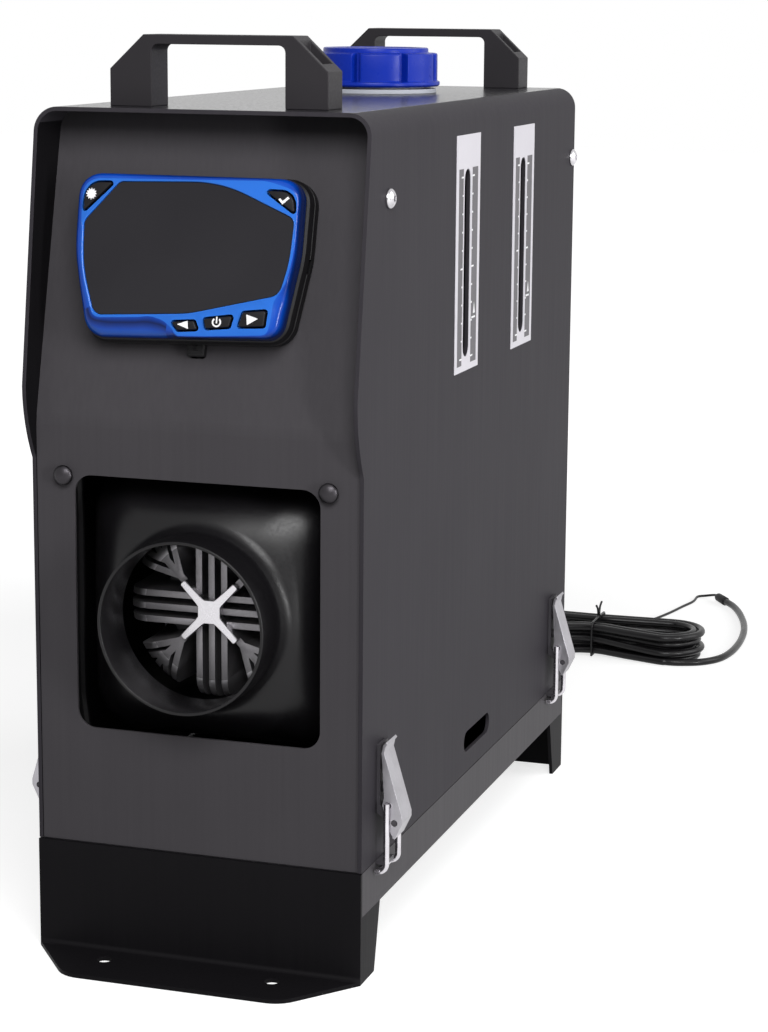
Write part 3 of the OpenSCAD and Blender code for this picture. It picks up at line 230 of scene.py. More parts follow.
nylon_handle = moulded("nylon_spark_textured_black", "#252326", 0.5, specular=0.16)
nylon_hood = moulded("nylon_glass_filled_black", "#0f0e10", 0.34, 1.2, 0.01, 0.25)
abs_housing = moulded("abs_moulded_black", "#0d0c0e", 0.42, specular=0.2)
abs_key = moulded("abs_key_moulded_grey", "#161517", 0.4, specular=0.15)
abs_blue = moulded("abs_polished_blue", "#2f7be0", 0.14, 6.0, 0.004, 0.2, "#1d5cc0")
# Painted shade: a point attribute drives a ramp that darkens the blue down the lip and the flank.
flank = add(abs_blue.node_tree, "Attribute", attribute_name="flank").outputs["Fac"]
deep = add(abs_blue.node_tree, "ValToRGB", {"Fac": flank})
for stop, colour in zip(deep.color_ramp.elements, ("#2467c4", "#02174a")):
    stop.color = srgb(colour)
deep.color_ramp.elements.new(0.5).color = srgb("#073fa4")
coat(abs_blue.node_tree, deep.outputs["Color"])
pp_blue = moulded("polypropylene_moulded_blue", "#082898", 0.3, 4.0, 0.01, 0.14, "#061a70")
pp_grey = moulded("polypropylene_moulded_grey", "#a4a7b0", 0.45, shade="#808080")
hdpe_tank = moulded("hdpe_blow_moulded_smoke", "#19181a", 0.5, 3.0, 0.03)
print("plastics:", len([m for m in bpy.data.materials if "moulded" in m.name]))

# %% [markdown]
# **Acrylic, prints and rubber.** The window is smoked acrylic, signs and label marks are screen-printed ink,
# gasket and pump foot are nitrile rubber.

# %% Window, inks and rubber
acrylic, tree = finish("acrylic_smoked_gloss", "#29282b", 0.3, specular=0.08, ior=1.49)
coat(tree, blend_colours(tree, spread(tree, grain(tree, 70.0), 0, 1), "#222124", "#29282b"))
ink_white = moulded("ink_screen_printed_white", "#e6e6e8", 0.55, 0.6, 0.01, shade="#c0c0c4")
ink_dark = moulded("ink_screen_printed_charcoal", "#5a585c", 0.55, 0.6, 0.01)
film_label = moulded("polyester_film_label_silver", "#cac7ce", 0.38, 0.7, 0.008, shade="#b4b1b8")
rubber = moulded("nitrile_rubber_moulded", "#0f0e10", 0.6, 1.5, 0.04, 0.2)
print("inks and rubber ready")

# %% [markdown]
# ** Metals.** Latch levers are zinc-plated rolled sheet, so fine lines run along them; bails and case screws
# are bright-plated. The heat exchanger is shot-blasted die-cast aluminium, shelf and bridge are galvanised.
# Lighter copies of the aluminium paint a highlight on the exchanger's star and bent fin ends, and the fuel
# pump's near-black steel is painted shade.

# %% Metals
def metal(name, colour, roughness, grain_mm=0.5, depth_mm=0.01, dull="#6f6d70", wear=0.3, stretch=(1, 1, 1)):
    material, tree = finish(name, colour, roughness, metallic=1.0)
    fine = grain(tree, grain_mm, stretch)
    worn = spread(tree, grain(tree, 12.0, detail=3.0), 0, wear)
    coat(tree, blend_colours(tree, worn, colour, dull),
         spread(tree, fine, roughness - 0.06, roughness + 0.1), bump(tree, fine, depth_mm, 0.6))
    return material


zinc_sheet = metal("steel_zinc_plated_rolled", "#a9a7ac", 0.38, stretch=(1, 1, 12))
zinc_wire = metal("steel_wire_bright_plated", "#dcd9de", 0.2, depth_mm=0.004)
nickel_screw = metal("steel_screw_nickel_plated", "#d2d0d4", 0.18, depth_mm=0.004)
black_screw = metal("steel_screw_black_oxide", "#3a383b", 0.38, depth_mm=0.006, dull="#262527")
cast_alloy = metal("aluminium_die_cast_blasted", "#848285", 0.5, 0.7, 0.03, "#58565a")
# Two lighter copies of the cast aluminium: painted highlight on the bent fin ends and on the star.
fin_end_painted_highlight = metal("aluminium_die_cast_rubbed", "#c6c4c8", 0.42, 0.7, 0.02, "#a3a1a5")
star_painted_highlight = metal("aluminium_face_milled", "#cbc9cd", 0.3, 0.5, 0.004, "#cfcdd0")
galvanised = metal("steel_galvanised_sheet", "#a5a4a8", 0.4, 6.0, 0.01, "#7c7b7f", wear=0.6)
stainless = metal("stainless_tube_drawn", "#9b9791", 0.32, stretch=(1, 1, 8))
stainless_sooted = metal("stainless_tube_heat_darkened", "#3d3a37", 0.5, dull="#2a2826", stretch=(1, 1, 8))
motor_steel = metal("steel_housing_turned", "#77767a", 0.38, stretch=(6, 1, 6))
# Near-black steel for the fuel pump: painted shade where it shows inside the case.
pump_painted_shade = metal("steel_housing_black_oxide", "#242325", 0.5, dull="#19181a", stretch=(6, 1, 6))
print("metals:", len([m for m in bpy.data.materials if m.name.startswith(("steel", "alu", "stain"))]))

# %% [markdown]
# **Cord jacket.** Extruded black PVC with a waxy gloss. Faint lines follow the cord's own UV map.

# %% Cord jackets
def jacket(name, colour, roughness, specular):
    material, tree = finish(name, colour, roughness, specular=specular, ior=1.5)
    place = made(tree, "UVMap", uv_map="along")
    mapped = made(tree, "Mapping", {"Vector": place, "Scale": (40.0, 60.0, 1.0)})
    lines = made(tree, "TexNoise", {"Vector": mapped, "Scale": 1.0, "Detail": 1.0})
    coat(tree, roughness=spread(tree, lines, roughness - 0.06, roughness + 0.08),
         normal=bump(tree, lines, 0.03, 0.5))
    return material


pvc_cord = jacket("pvc_cord_jacket_extruded", "#0e0d0f", 0.3, 0.25)
shrink_sleeve = jacket("polyolefin_shrink_sleeve", "#121113", 0.5, 0.2)
print("jackets ready")

# %% [markdown]
# ## Making and placing pieces
# A piece is made from points in millimetres, sits at the origin, and is then tied to the imported solid that
# it stands for: it rides on that solid's body. Most pieces are a skin
# over rings of points.

# %% Piece helpers
body_of = {node: body for body, members in frame["record"]["behaviour"]["bodies"].items() for node in members}


def polar(radius, angle, centre=(0.0, 0.0)):
    """The point at a distance and an angle from a centre."""
    return centre[0] + radius * cos(angle), centre[1] + radius * sin(angle)


def full_turn(count):
    return np.linspace(0, 2 * pi, count, endpoint=False)


def skin(rows, count, closed=False):
    """Faces between rings of count points; closed joins the last ring to the first."""
    return [(i * count + k, i * count + (k + 1) % count,
             (i + 1) % rows * count + (k + 1) % count, (i + 1) % rows * count + k)
            for i in range(rows if closed else rows - 1) for k in range(count)]


def lids(rows, count):
    """The end faces of an open skin."""
    return [tuple(range(count))[::-1], tuple((rows - 1) * count + k for k in range(count))]


def mark_sharp(mesh, degrees):
    """Shades a mesh smooth, sharp where faces meet above an angle."""
    mesh.polygons.foreach_set("use_smooth", [True] * len(mesh.polygons))
    mesh.set_sharp_from_angle(angle=radians(degrees))


def piece_from(name, points_mm, faces, material, sharp=35):
    """A mesh piece from millimetre points."""
    mesh = bpy.data.meshes.new(name)
    mesh.from_pydata([tuple(c * MM for c in p) for p in points_mm], [], [tuple(f) for f in faces])
    mesh.materials.append(material)
    mark_sharp(mesh, sharp)
    mesh.update()
    return in_scene(name, mesh)


def stands_for(piece, *nodes, hides=True):
    """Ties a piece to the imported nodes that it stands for."""
    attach(piece, body_of[nodes[0]])
    if hides:
        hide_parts(*nodes)
    return piece


def settle(piece):
    """Turns a piece with its modifiers into a plain mesh."""
    graph = bpy.context.evaluated_depsgraph_get()
    mesh = bpy.data.meshes.new_from_object(piece.evaluated_get(graph), preserve_all_data_layers=True,
                                           depsgraph=graph)
    piece.modifiers.clear()
    old, piece.data = piece.data, mesh
    mesh.name = piece.name
    if old.users == 0:
        bpy.data.meshes.remove(old)
    return piece


def soften(piece, edge, steps, angle=30):
    """Breaks the sharp edges of a piece by edge millimetres and keeps its flats flat."""
    cut = piece.modifiers.new("edges", "BEVEL")
    cut.width, cut.segments, cut.limit_method = edge * MM, steps, "ANGLE"
    cut.angle_limit, cut.use_clamp_overlap = radians(angle), True
    piece.modifiers.new("flats", "WEIGHTED_NORMAL").keep_sharp = True
    return settle(piece)


# %% [markdown]
# Many solids already have the right shape, so their mesh is copied. The copy's loose triangles are joined,
# folds get the bend radius of a press brake, and all edges are broken a little to catch the light.

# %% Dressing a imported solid
def take_apart(shape):
    """The points and faces of a bmesh, which is freed."""
    shape.verts.index_update()
    points, faces = [tuple(v.co) for v in shape.verts], [[v.index for v in f.verts] for f in shape.faces]
    shape.free()
    return points, faces


def dressed(node, name, material, edge=0.35, steps=2, folds=(), hides=True):
    """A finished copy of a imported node's mesh; folds are (test of an edge's ends, radius, arcs)."""
    shape = bmesh.new()
    shape.from_mesh(frame["nodes"][node].data)
    bmesh.ops.remove_doubles(shape, verts=shape.verts, dist=2e-6)
    bmesh.ops.dissolve_limit(shape, angle_limit=radians(0.6), verts=shape.verts, edges=shape.edges)
    for is_fold, radius, arcs in folds:
        chosen = [e for e in shape.edges if is_fold(e.verts[0].co / MM, e.verts[1].co / MM)]
        bmesh.ops.bevel(shape, geom=chosen, offset=radius * MM, offset_type="OFFSET", segments=arcs,
                        profile=0.5, affect="EDGES", clamp_overlap=True)
    points, faces = take_apart(shape)
    points = [Vector(p) / MM for p in points]
    piece = soften(piece_from(name, points, faces, material, sharp=30), edge, steps)
    return stands_for(piece, node) if hides else piece


print("dressing ready")

# %% [markdown]
# ## Cords
# The supply cord leaves a tapered gland at the back, drops to the floor, runs into a flat hank of eight
# loops held by a wire tie, and goes on to a sleeve. A thin signal wire leaves the sleeve for its own plug.
# The routes repeat the points that the solids follow, so the cord lies where its solid lies.

# %% Cord routes
CORD, WIRE, LAY = 4.5, 1.8, 2.3        # two diameters, and the cord's centre above the floor
GAP, WAIST_RISE, WAIST_IN = 0.45, 1.6, 8.0


def spline(points, steps):
    """A smooth curve through points, with that many steps from one point to the next."""
    p = [np.array(q, float) for q in points]
    out = []
    for i in range(len(p) - 1):
        a, b, c, d = p[max(i - 1, 0)], p[i], p[i + 1], p[min(i + 2, len(p) - 1)]
        for t in (k / steps for k in range(steps)):
            out.append(0.5 * (2 * b + (c - a) * t + (2 * a - 5 * b + 4 * c - d) * t * t
                              + (3 * b - a - 3 * c + d) * t ** 3))
    return out + [p[-1]]


def run_length(points):
    return sum(np.linalg.norm(np.subtract(b, a)) for a, b in zip(points, points[1:]))


HANK_X, HANK_Y, TURNS, LAYERS, RINGS, HALF = 34.0, REAR + 258, 2, 4, 24, 45.0
LAST = RINGS * TURNS * LAYERS + 4


def hank_ring(i):
    """Centre of ring i of the hank, from the top layer down: 4 rings on each straight, 8 on each end."""
    n = RINGS * TURNS
    k = max(0, min(LAYERS - 1, (i - 2) // n))
    spiral = (n * (k + 1) + 2 - i) / RINGS if k % 2 == 0 else (i - 2 - n * k) / RINGS
    layer, j = i // n, i % n
    layer = 0 if layer == 0 else LAYERS - 1 if layer >= LAYERS else layer - 1 + min(1, j / 4)
    j, r = i % RINGS, 3 * CORD + (CORD + 0.55) * spiral
    turn = 0 if j < 4 else (j - 4) * 22.5 if j < 12 else 180 if j < 16 else 180 + (j - 16) * 22.5
    x = -HALF + 90 * j / 4 if j < 4 else HALF if j < 12 else HALF - 90 * (j - 12) / 4 if j < 16 else -HALF
    waist = (1 + cos(pi * x / HALF)) / 2 if j < 4 or 12 <= j < 16 else 0
    a = radians(turn)
    return np.array([HANK_X + x + r * sin(a), HANK_Y - (r - WAIST_IN * waist) * cos(a),
                     LAY + WAIST_RISE * waist + (CORD + GAP) * (LAYERS - 1 - layer)])


def behind(*points):
    """Route points whose y counts from the rear panel."""
    return [(x, REAR + y, z) for x, y, z in points]


hank_points = ([hank_ring(0) - [CORD, 0, 0]] + [hank_ring(i) for i in range(LAST + 1)]
               + [hank_ring(LAST) + [CORD, 0, 0]])
hank_start, hank_end = hank_points[0], hank_points[-1]
GX, GZ = -26.0, 74.0                   # where the gland sits
lead_points = behind(
    (GX, -8, GZ), (GX, 8, GZ), (GX, 24, GZ), (GX, 38, 72.4), (GX - 1, 50, 66), (GX - 2, 60, 54),
    (GX - 3, 67, 40), (GX - 5, 74, 26), (GX - 7, 83, 14), (GX - 11, 97, 5.4), (GX - 16, 114, LAY),
    (GX - 22, 137, LAY), (GX - 27, 163, LAY), (GX - 28, 188, 2.6), (GX - 25, 209, 5.4), (GX - 15, 225, 10.4))
lead_points += [(GX, hank_start[1] - 1.4, 15.4), hank_start]
tail_points = [hank_end, (92, hank_end[1] + 0.8, LAY)] + behind(
    (105, 241, LAY), (114, 253, LAY), (118, 270, LAY), (119, 291, LAY), (118, 314, LAY), (115, 338, LAY),
    (110, 361, LAY), (103, 384, LAY), (96, 400, 2.7), (89, 410, 3.1))
supply_path = spline(lead_points, 4)[1:-1] + spline(hank_points, 3)[:-1] + spline(tail_points, 4)
print("supply cord", round(run_length(supply_path)), "mm in", len(supply_path), "rings")

# %% [markdown]
# A cord is a round tube swept along its route without twist, with a UV map in metres along it.

# %% Sweeping a tube
def sweep(name, path, radius, sides, material):
    """A tube along path; radius is a number or one number for each ring."""
    path = np.array(path, float)
    ahead = np.gradient(path, axis=0)
    ahead /= np.linalg.norm(ahead, axis=1)[:, None]
    side = np.cross(ahead[0], (0, 0, 1.0) if abs(ahead[0][2]) < 0.9 else (1.0, 0, 0))
    radii = np.broadcast_to(radius, len(path))
    points, along = [], [0.0]
    for i, (centre, t) in enumerate(zip(path, ahead)):
        side = side - t * side.dot(t)
        side /= np.linalg.norm(side)
        other = np.cross(t, side)
        points += [centre + radii[i] * (cos(a) * side + sin(a) * other) for a in full_turn(sides)]
        if i:
            along.append(along[-1] + np.linalg.norm(path[i] - path[i - 1]) * MM)
    rows = len(path)
    piece = piece_from(name, points, skin(rows, sides) + lids(rows, sides), material, sharp=50)
    uv = piece.data.uv_layers.new(name="along")
    for face in piece.data.polygons:
        for loop, vertex in zip(face.loop_indices, face.vertices):
            k = vertex % sides
            if k == 0 and len(face.vertices) == 4 and (sides - 1) in [v % sides for v in face.vertices]:
                k = sides
            uv.data[loop].uv = (k / sides, along[vertex // sides])
    return piece


supply_cord = sweep("supply_cord", supply_path, CORD / 2, 14, pvc_cord)
stands_for(supply_cord, "power_lead", "cord_hank", "cord_tail")
print("supply cord faces:", len(supply_cord.data.polygons))

# %% [markdown]
# The sleeve has a full end and a necked end, which lets only the thin wire out. The tie is a coated wire,
# wrapped once round the hank's waist and twisted at the top.

# %% Sleeve, signal wire, plug and tie
tail_dir = np.subtract(tail_points[-1], tail_points[-2])
tail_dir = tail_dir / np.linalg.norm(tail_dir)
sleeve_at, sleeve_long = np.array(tail_points[-1], float), 15
sleeve_steps = [(-0.2, 2.3), (0.0, 2.75), (0.7, 3.0), (7.0, 2.92), (12.5, 2.85), (14.0, 2.3), (14.8, 1.6),
                (sleeve_long, 1.0)]
sleeve = sweep("tail_sleeve_shrunk", [sleeve_at + s * tail_dir for s, r in sleeve_steps],
               [r for s, r in sleeve_steps], 20, shrink_sleeve)
stands_for(sleeve, "tail_sleeve")
w = sleeve_at + sleeve_long * tail_dir
wire_z = WIRE / 2 + 0.05
wire_points = [w, w + 4 * tail_dir, w + (-9.5, 7.5, -2), w + (-15, 4, wire_z - 3.2)] + behind(
    (66, 413, wire_z), (62, 396, wire_z), (58, 376, wire_z), (53, 357, wire_z), (47, 340, wire_z),
    (41, 326, 1.6), (37, 317, 2.6))
wire_path = spline(wire_points, 5)
for _ in range(4):
    wire_path[2:-2] = [(a + 2 * b + c) / 4 for a, b, c in zip(wire_path[1:], wire_path[2:-2], wire_path[3:])]
signal_wire = sweep("signal_wire_thin", wire_path, WIRE / 2, 10, pvc_cord)
stands_for(signal_wire, "signal_wire")
plug = dressed("wire_plug", "wire_plug_moulded", abs_housing, edge=0.4)

TIE, TIE_GAP, TIE_BEND = 0.7, 0.35, 3
top, low = LAY + WAIST_RISE + (CORD + GAP) * (LAYERS - 1) + CORD / 2 + TIE + TIE_GAP, 0.75
half = 3 * CORD + (CORD + 0.55) * TURNS - WAIST_IN + CORD / 2 + TIE + 0.4
far = half - (CORD + 0.55) / 2
loop = [(-7, top + 9), (-3.5, top + 6.5), (-1.8, top + 3), (-3, top + 0.4)]
for centre, start in (((-half + 3, top - 3), 90), ((-half + 3, low + 3), 180), ((far - 3, low + 3), 270),
                      ((far - 3, top - 3), 360)):
    loop += [polar(TIE_BEND, radians(start + 45 * k), centre) for k in range(3)]
loop += [(3, top + 0.4), (1.8, top + 3), (3.5, top + 6.5), (7.5, top + 8.5)]
tie = sweep("cord_tie_wire", spline([(HANK_X, HANK_Y + y, z) for y, z in loop], 3), TIE, 10, pvc_cord)
stands_for(tie, "cord_tie")


print("signal wire", round(run_length(wire_path)), "mm")

# %% [markdown]
# ## The case
# The cover is one folded sheet over two panels and a tray. Long folds have an outside radius of about
# 3 mm. The cover's top is rubbed smoother than its sides, and its inside faces take a near-black coat as
# painted shade.

# %% Case sheets
def near(value, target, slack=0.05):
    return abs(value - target) < slack


def crease(y, z, radius):
    """A fold that runs along X at one place in Y and Z."""
    return lambda a, b: near(a.y, y) and near(b.y, y) and near(a.z, z) and near(b.z, z), radius, 5


cover = dressed("cover_shell", "cover_sheet", coat_cover, edge=0.45, steps=3)
cover.data.materials.append(coat_top)
cover.data.materials.append(painted_shade_coat)
# Faces inside the cover take the near-black coat: painted shade.
for face in cover.data.polygons:
    shaded_inside = face.normal.x * face.center.x < 0 and abs(face.normal.x) > 0.9
    face.material_index = 2 if shaded_inside else int(face.normal.z > 0.97 and face.center.z > (TOP - 0.1) * MM)
dressed("front_panel", "front_panel_sheet", coat_panel, 0.3, folds=[crease(FRONT + PANEL_SHEET, FOLD_Z, 3.0)])
dressed("rear_panel", "rear_panel_sheet", coat_panel, 0.3)
dressed("base_tray", "base_tray_sheet", coat_panel, 0.6, 3)
# The feet take the near-black coat as painted shade.
for place, y, inner in (("front", FRONT, FRONT + FOOT_SHEET), ("rear", REAR, REAR - FOOT_SHEET)):
    dressed(place + "_foot", place + "_foot_sheet", painted_shade_coat,
            folds=[crease(y, FOOT_SHEET, 2.2), crease(inner, 0.0, 3.0)])
print("case sheets done")

# %% [markdown]
# The handles are moulded bridges with sloped ends. The latches' base, catch and lever are 1.2 mm sheet and
# the bail is 2.5 mm wire; base and catch are coated with the case, lever and bail stay bright.

# %% Handles and latches
for place in ("front", "rear"):
    dressed(place + "_handle", place + "_handle_moulded", nylon_handle, 0.5, 3)
dressed("latch_bases", "latch_base_plates", latch_black, 0.25)
dressed("latch_catches", "latch_catch_plates", latch_black, 0.25)
for place in ("front_right", "rear_right", "front_left", "rear_left"):
    dressed("lever_" + place, "lever_plate_" + place, zinc_sheet, 0.25)
    dressed("bail_" + place, "bail_wire_" + place, zinc_wire, 0.1)
print("handles and latches done")

# %% [markdown]
# Inner pieces keep their solids and only take a finish, as they are seen through the outlet and the grille.

# %% Inner pieces
inner_finishes = (
    (galvanised, "tank_shelf mounting_bridge"), (hdpe_tank, "fuel_tank"), (stainless, "burner_tube"),
    (nylon_hood, "jacket_lower jacket_upper"), (motor_steel, "glow_plug blower_motor"),
    (cast_alloy, "warm_air_fan combustion_impeller"), (abs_housing, "control_unit"),
    # The fuel pump's near-black steel is painted shade.
    (stainless_sooted, "exhaust_pipe"), (pump_painted_shade, "fuel_pump"),
    (rubber, "cap_gasket combustion_air_pipe pump_mount fuel_lines controller_lead"))
for material, nodes in inner_finishes:
    for node in nodes.split():
        frame["nodes"][node].data.materials.clear()
        frame["nodes"][node].data.materials.append(material)
print("inner finishes:", len(inner_finishes))

# %% [markdown]
# ## The controller
# A black housing with a blue frame, a smoked window and five keys. It sits on the leaning panel, so its
# outlines are drawn in that panel's plane: x across, s up the slope from the fold, n out of the sheet.

# %% Panel plane and rounded outlines
HOUSING_N, FRAME_N, KEY_N = 10.0, 18.0, 18.84   # fronts of the housing, the frame and the keys


def panel_point(x, s, n):
    lean_s, lean_c = sin(PANEL_TILT), cos(PANEL_TILT)
    return (x, FRONT + PANEL_SHEET + s * lean_s - n * lean_c, FOLD_Z + s * lean_c + n * lean_s)


def rounded(corners, radii, steps=8):
    """Points of a polygon with an arc at each corner."""
    out = []
    for i, (p, r) in enumerate(zip(corners, radii)):
        p, a, b = (np.array(q, float) for q in (p, corners[i - 1], corners[(i + 1) % len(corners)]))
        u, v = (a - p) / np.linalg.norm(a - p), (b - p) / np.linalg.norm(b - p)
        half = acos(float(np.dot(u, v))) / 2
        centre = p + (u + v) / np.linalg.norm(u + v) * r / sin(half)
        s, e = p + u * r / tan(half) - centre, p + v * r / tan(half) - centre
        a0 = atan2(s[1], s[0])
        turn = (atan2(e[1], e[0]) - a0 + 3 * pi) % (2 * pi) - pi
        out += [polar(r, a0 + turn * k / steps, centre) for k in range(steps + 1)]
    return np.array(out)


frame_outline = rounded([(-54.9, 104), (45, 103.6), (45.1, 72), (39.5, 37), (-46.6, 34.7), (-54.8, 72)],
                        (10, 9, 60, 8, 9, 60), 16)
window_outline = rounded(
    [(-50.5, 83), (-35.6, 100), (9.5, 101), (43, 86.8), (42.3, 69), (38.9, 55.2), (-0.5, 46), (-42.6, 43.8),
     (-49.4, 64)], (5, 4, 60, 4, 60, 6, 60, 5, 60), 12)
ridge_outline = rounded(
    [(-52.0, 100.9), (-36, 101.1), (30, 102.0), (43.9, 98), (44.2, 72), (41.5, 60), (37.0, 52.5), (36.2, 44),
     (35.2, 38.6), (8, 37), (-4.6, 36.6), (-7.2, 40), (-11, 42.7), (-17, 44.4), (-22, 43.6), (-43, 42.6),
     (-48.6, 62), (-51.6, 84)], (7, 20, 20, 6, 60, 10, 6, 10, 2.5, 30, 1.5, 3, 8, 12, 12, 4, 60, 60), 8)
print("controller", [round(float(v), 1) for v in np.ptp(frame_outline, axis=0)], "mm")

# %% [markdown]
# The frame's section changes all the way round: a lip at the window, a flat band, a ridge, and a rounded
# flank. So it is closed loops round one centre, each read off an outline at the same 480 angles. A point
# attribute holds painted shade: the blue goes darker down the lip and the flank, with a painted highlight
# mid-scoop.

# %% Blue frame
CENTRE, ANGLES = np.array((-5.0, 71.0)), full_turn(480)


def reach(outline):
    """Distance from the centre to an outline at each of the angles."""
    p = np.array(outline) - CENTRE
    q = np.roll(p, -1, axis=0)
    out = []
    for a in ANGLES:
        d = np.array((cos(a), sin(a)))
        cross_p, cross_q = p[:, 0] * d[1] - p[:, 1] * d[0], q[:, 0] * d[1] - q[:, 1] * d[0]
        t = cross_p / np.where(abs(cross_p - cross_q) < 1e-12, 1e-12, cross_p - cross_q)
        hit = (p + (q - p) * t[:, None]) @ d
        out.append(max(hit[(t >= -1e-9) & (t <= 1 + 1e-9) & (hit > 0)]))
    return np.array(out)


def loop_at(radii, n):
    return [(*polar(r, a, CENTRE), m) for r, a, m in zip(radii, ANGLES, np.broadcast_to(n, len(ANGLES)))]


r_window, r_ridge, r_out = reach(window_outline), reach(ridge_outline), reach(frame_outline)
r_ridge = np.maximum(r_ridge, r_window + 0.75)
for _ in range(3):
    r_ridge = (np.roll(r_ridge, 1) + 2 * r_ridge + np.roll(r_ridge, -1)) / 4
r_ridge = np.minimum(r_ridge, r_out - 0.8)
width = r_out - r_ridge
fall = np.minimum(6.0, 3.2 + 0.45 * width)
ridge_top = FRAME_N - 0.06
steps = ((0, 11), (0, 17.35), (0.16, 17.75), (0.5, 17.95), (0.65, 17.9))
loops = [loop_at(r_window + gap, n) for gap, n in steps]
loops += [loop_at(r_ridge - 0.1, FRAME_N), loop_at(r_ridge + 0.12, ridge_top)]
for a in (radians(90 * k / 7) for k in range(1, 8)):
    out = r_ridge + 0.12 + (width - 0.12) * sin(a) ** 0.9
    loops.append(loop_at(out, ridge_top - fall * (1 - cos(a))))
loops += [loop_at(r_out - g, n) for g, n in ((0, 10.35), (0.3, HOUSING_N), (2.9, HOUSING_N))]

flank_rows = slice(6, 14)
# Painted shade by ring: dark at the window lip, light on the band, darker down the flank. Narrow flanks
# darken sooner, and the wide lower-left scoop gets a painted highlight in its middle.
painted_shade_depth = [1.0, 0.3, 0.0, 0.0, 0.05, 0.05, 0.35, 0.45, 0.5, 0.55, 0.65, 0.8, 0.95, 1.0, 1.0, 1.0, 1.0]
painted_shade_depth = np.repeat([painted_shade_depth], len(ANGLES), 0).T
slim_painted_shade = np.array([0.5, 0.72, 0.8, 0.88, 0.94, 1.0, 1.0, 1.0])[:, None]
scoop_painted_highlight = np.array([0.6, 1.0, 0.75, 0.4, 0.3, 0.45, 0.85, 1.0])[:, None]
painted_shade_depth[flank_rows] += np.clip((4.0 - width) / 2.0, 0, 1) * (slim_painted_shade - painted_shade_depth[flank_rows])
scoop_highlight_mask = (width > 5.0) & (CENTRE[0] + r_ridge * np.cos(ANGLES) < -9) & (np.sin(ANGLES) < 0)
painted_shade_depth[flank_rows, scoop_highlight_mask] = scoop_painted_highlight
blue_frame = piece_from("controller_frame_blue", [panel_point(*p) for ring in loops for p in ring],
                        [f[::-1] for f in skin(len(loops), len(ANGLES), closed=True)], abs_blue, sharp=28)
blue_frame.data.attributes.new("flank", "FLOAT", "POINT").data.foreach_set("value", painted_shade_depth.ravel())
print("frame loops:", len(loops), "flank", [round(float(w), 1) for w in (width.min(), width.max())], "mm")

# %% [markdown]
# Housing, window and keys are plates: an outline, drawn in a little towards each face for the moulded edge.

# %% Plates on the panel
def signed_area(p):
    return np.sum(p[:, 0] * np.roll(p[:, 1], -1) - p[:, 1] * np.roll(p[:, 0], -1))


def grown(outline, g):
    """An outline moved out by g millimetres along its own normals."""
    p = np.array(outline)
    t = np.roll(p, -1, axis=0) - np.roll(p, 1, axis=0)
    t /= np.maximum(np.linalg.norm(t, axis=1), 1e-9)[:, None]
    return p + g * np.sign(signed_area(p)) * np.stack((t[:, 1], -t[:, 0]), axis=1)


def plate(name, outline, profile, material, sharp=35):
    """A closed plate; profile is a list of (growth, n) from the back face to the front face."""
    points = [panel_point(x, s, n) for g, n in profile for x, s in grown(outline, g)]
    faces = skin(len(profile), len(outline)) + lids(len(profile), len(outline))
    if signed_area(outline) < 0:
        faces = [f[::-1] for f in faces]
    return piece_from(name, points, faces, material, sharp)


def block(name, x0, x1, s0, s1, radius, steps, profile, material):
    """A plate with an upright rounded box for its outline."""
    outline = rounded([(x0, s0), (x1, s0), (x1, s1), (x0, s1)], (radius,) * 4, steps)
    return plate(name, outline, profile, material)


def drill(piece, cutters):
    """Takes the cutters out of the piece and removes them."""
    for cutter in cutters:
        cut = piece.modifiers.new("hole", "BOOLEAN")
        cut.operation, cut.solver, cut.object, cut.material_mode = "DIFFERENCE", "EXACT", cutter, "TRANSFER"
    settle(piece)
    for cutter in cutters:
        mesh = cutter.data
        bpy.data.objects.remove(cutter)
        bpy.data.meshes.remove(mesh)
    mark_sharp(piece.data, 28)
    return piece


key_outlines = {
    "key_mode": rounded([(-51.2, 86.1), (-50.9, 99.7), (-37.4, 99.8)], (0.9, 7.5, 0.9), 8),
    "key_confirm": rounded([(28.6, 98.3), (43.0, 98.1), (43.3, 88.4)], (0.9, 6.5, 0.9), 8),
    "key_left": rounded([(-7.9, 42.6), (3.2, 43.4), (5.2, 39.3), (-4.2, 38.6)], (0.9, 1.1, 0.9, 1.1), 6),
    "key_power": rounded([(6.8, 44.4), (20.1, 46.3), (18.9, 40.9), (8.0, 39.8)], (1.0, 1.1, 1.0, 1.1), 6),
    "key_right": rounded([(23.9, 47.8), (34.6, 49.0), (34.1, 41.8), (22.1, 41.1)], (1.0, 1.1, 1.0, 0.9), 6)}
drill(blue_frame, [plate("hole_" + n, o, [(0.45, 9), (0.45, 20)], abs_blue) for n, o in key_outlines.items()])
stands_for(blue_frame, "lcd_bezel")
print("drilled frame faces:", len(blue_frame.data.polygons))

# %% [markdown]
# The housing is a black shell in two halves, with a parting line and a small notch where they unclip. The
# keys are grey rubbery plastic with softly rounded tops, a little smaller than their holes.

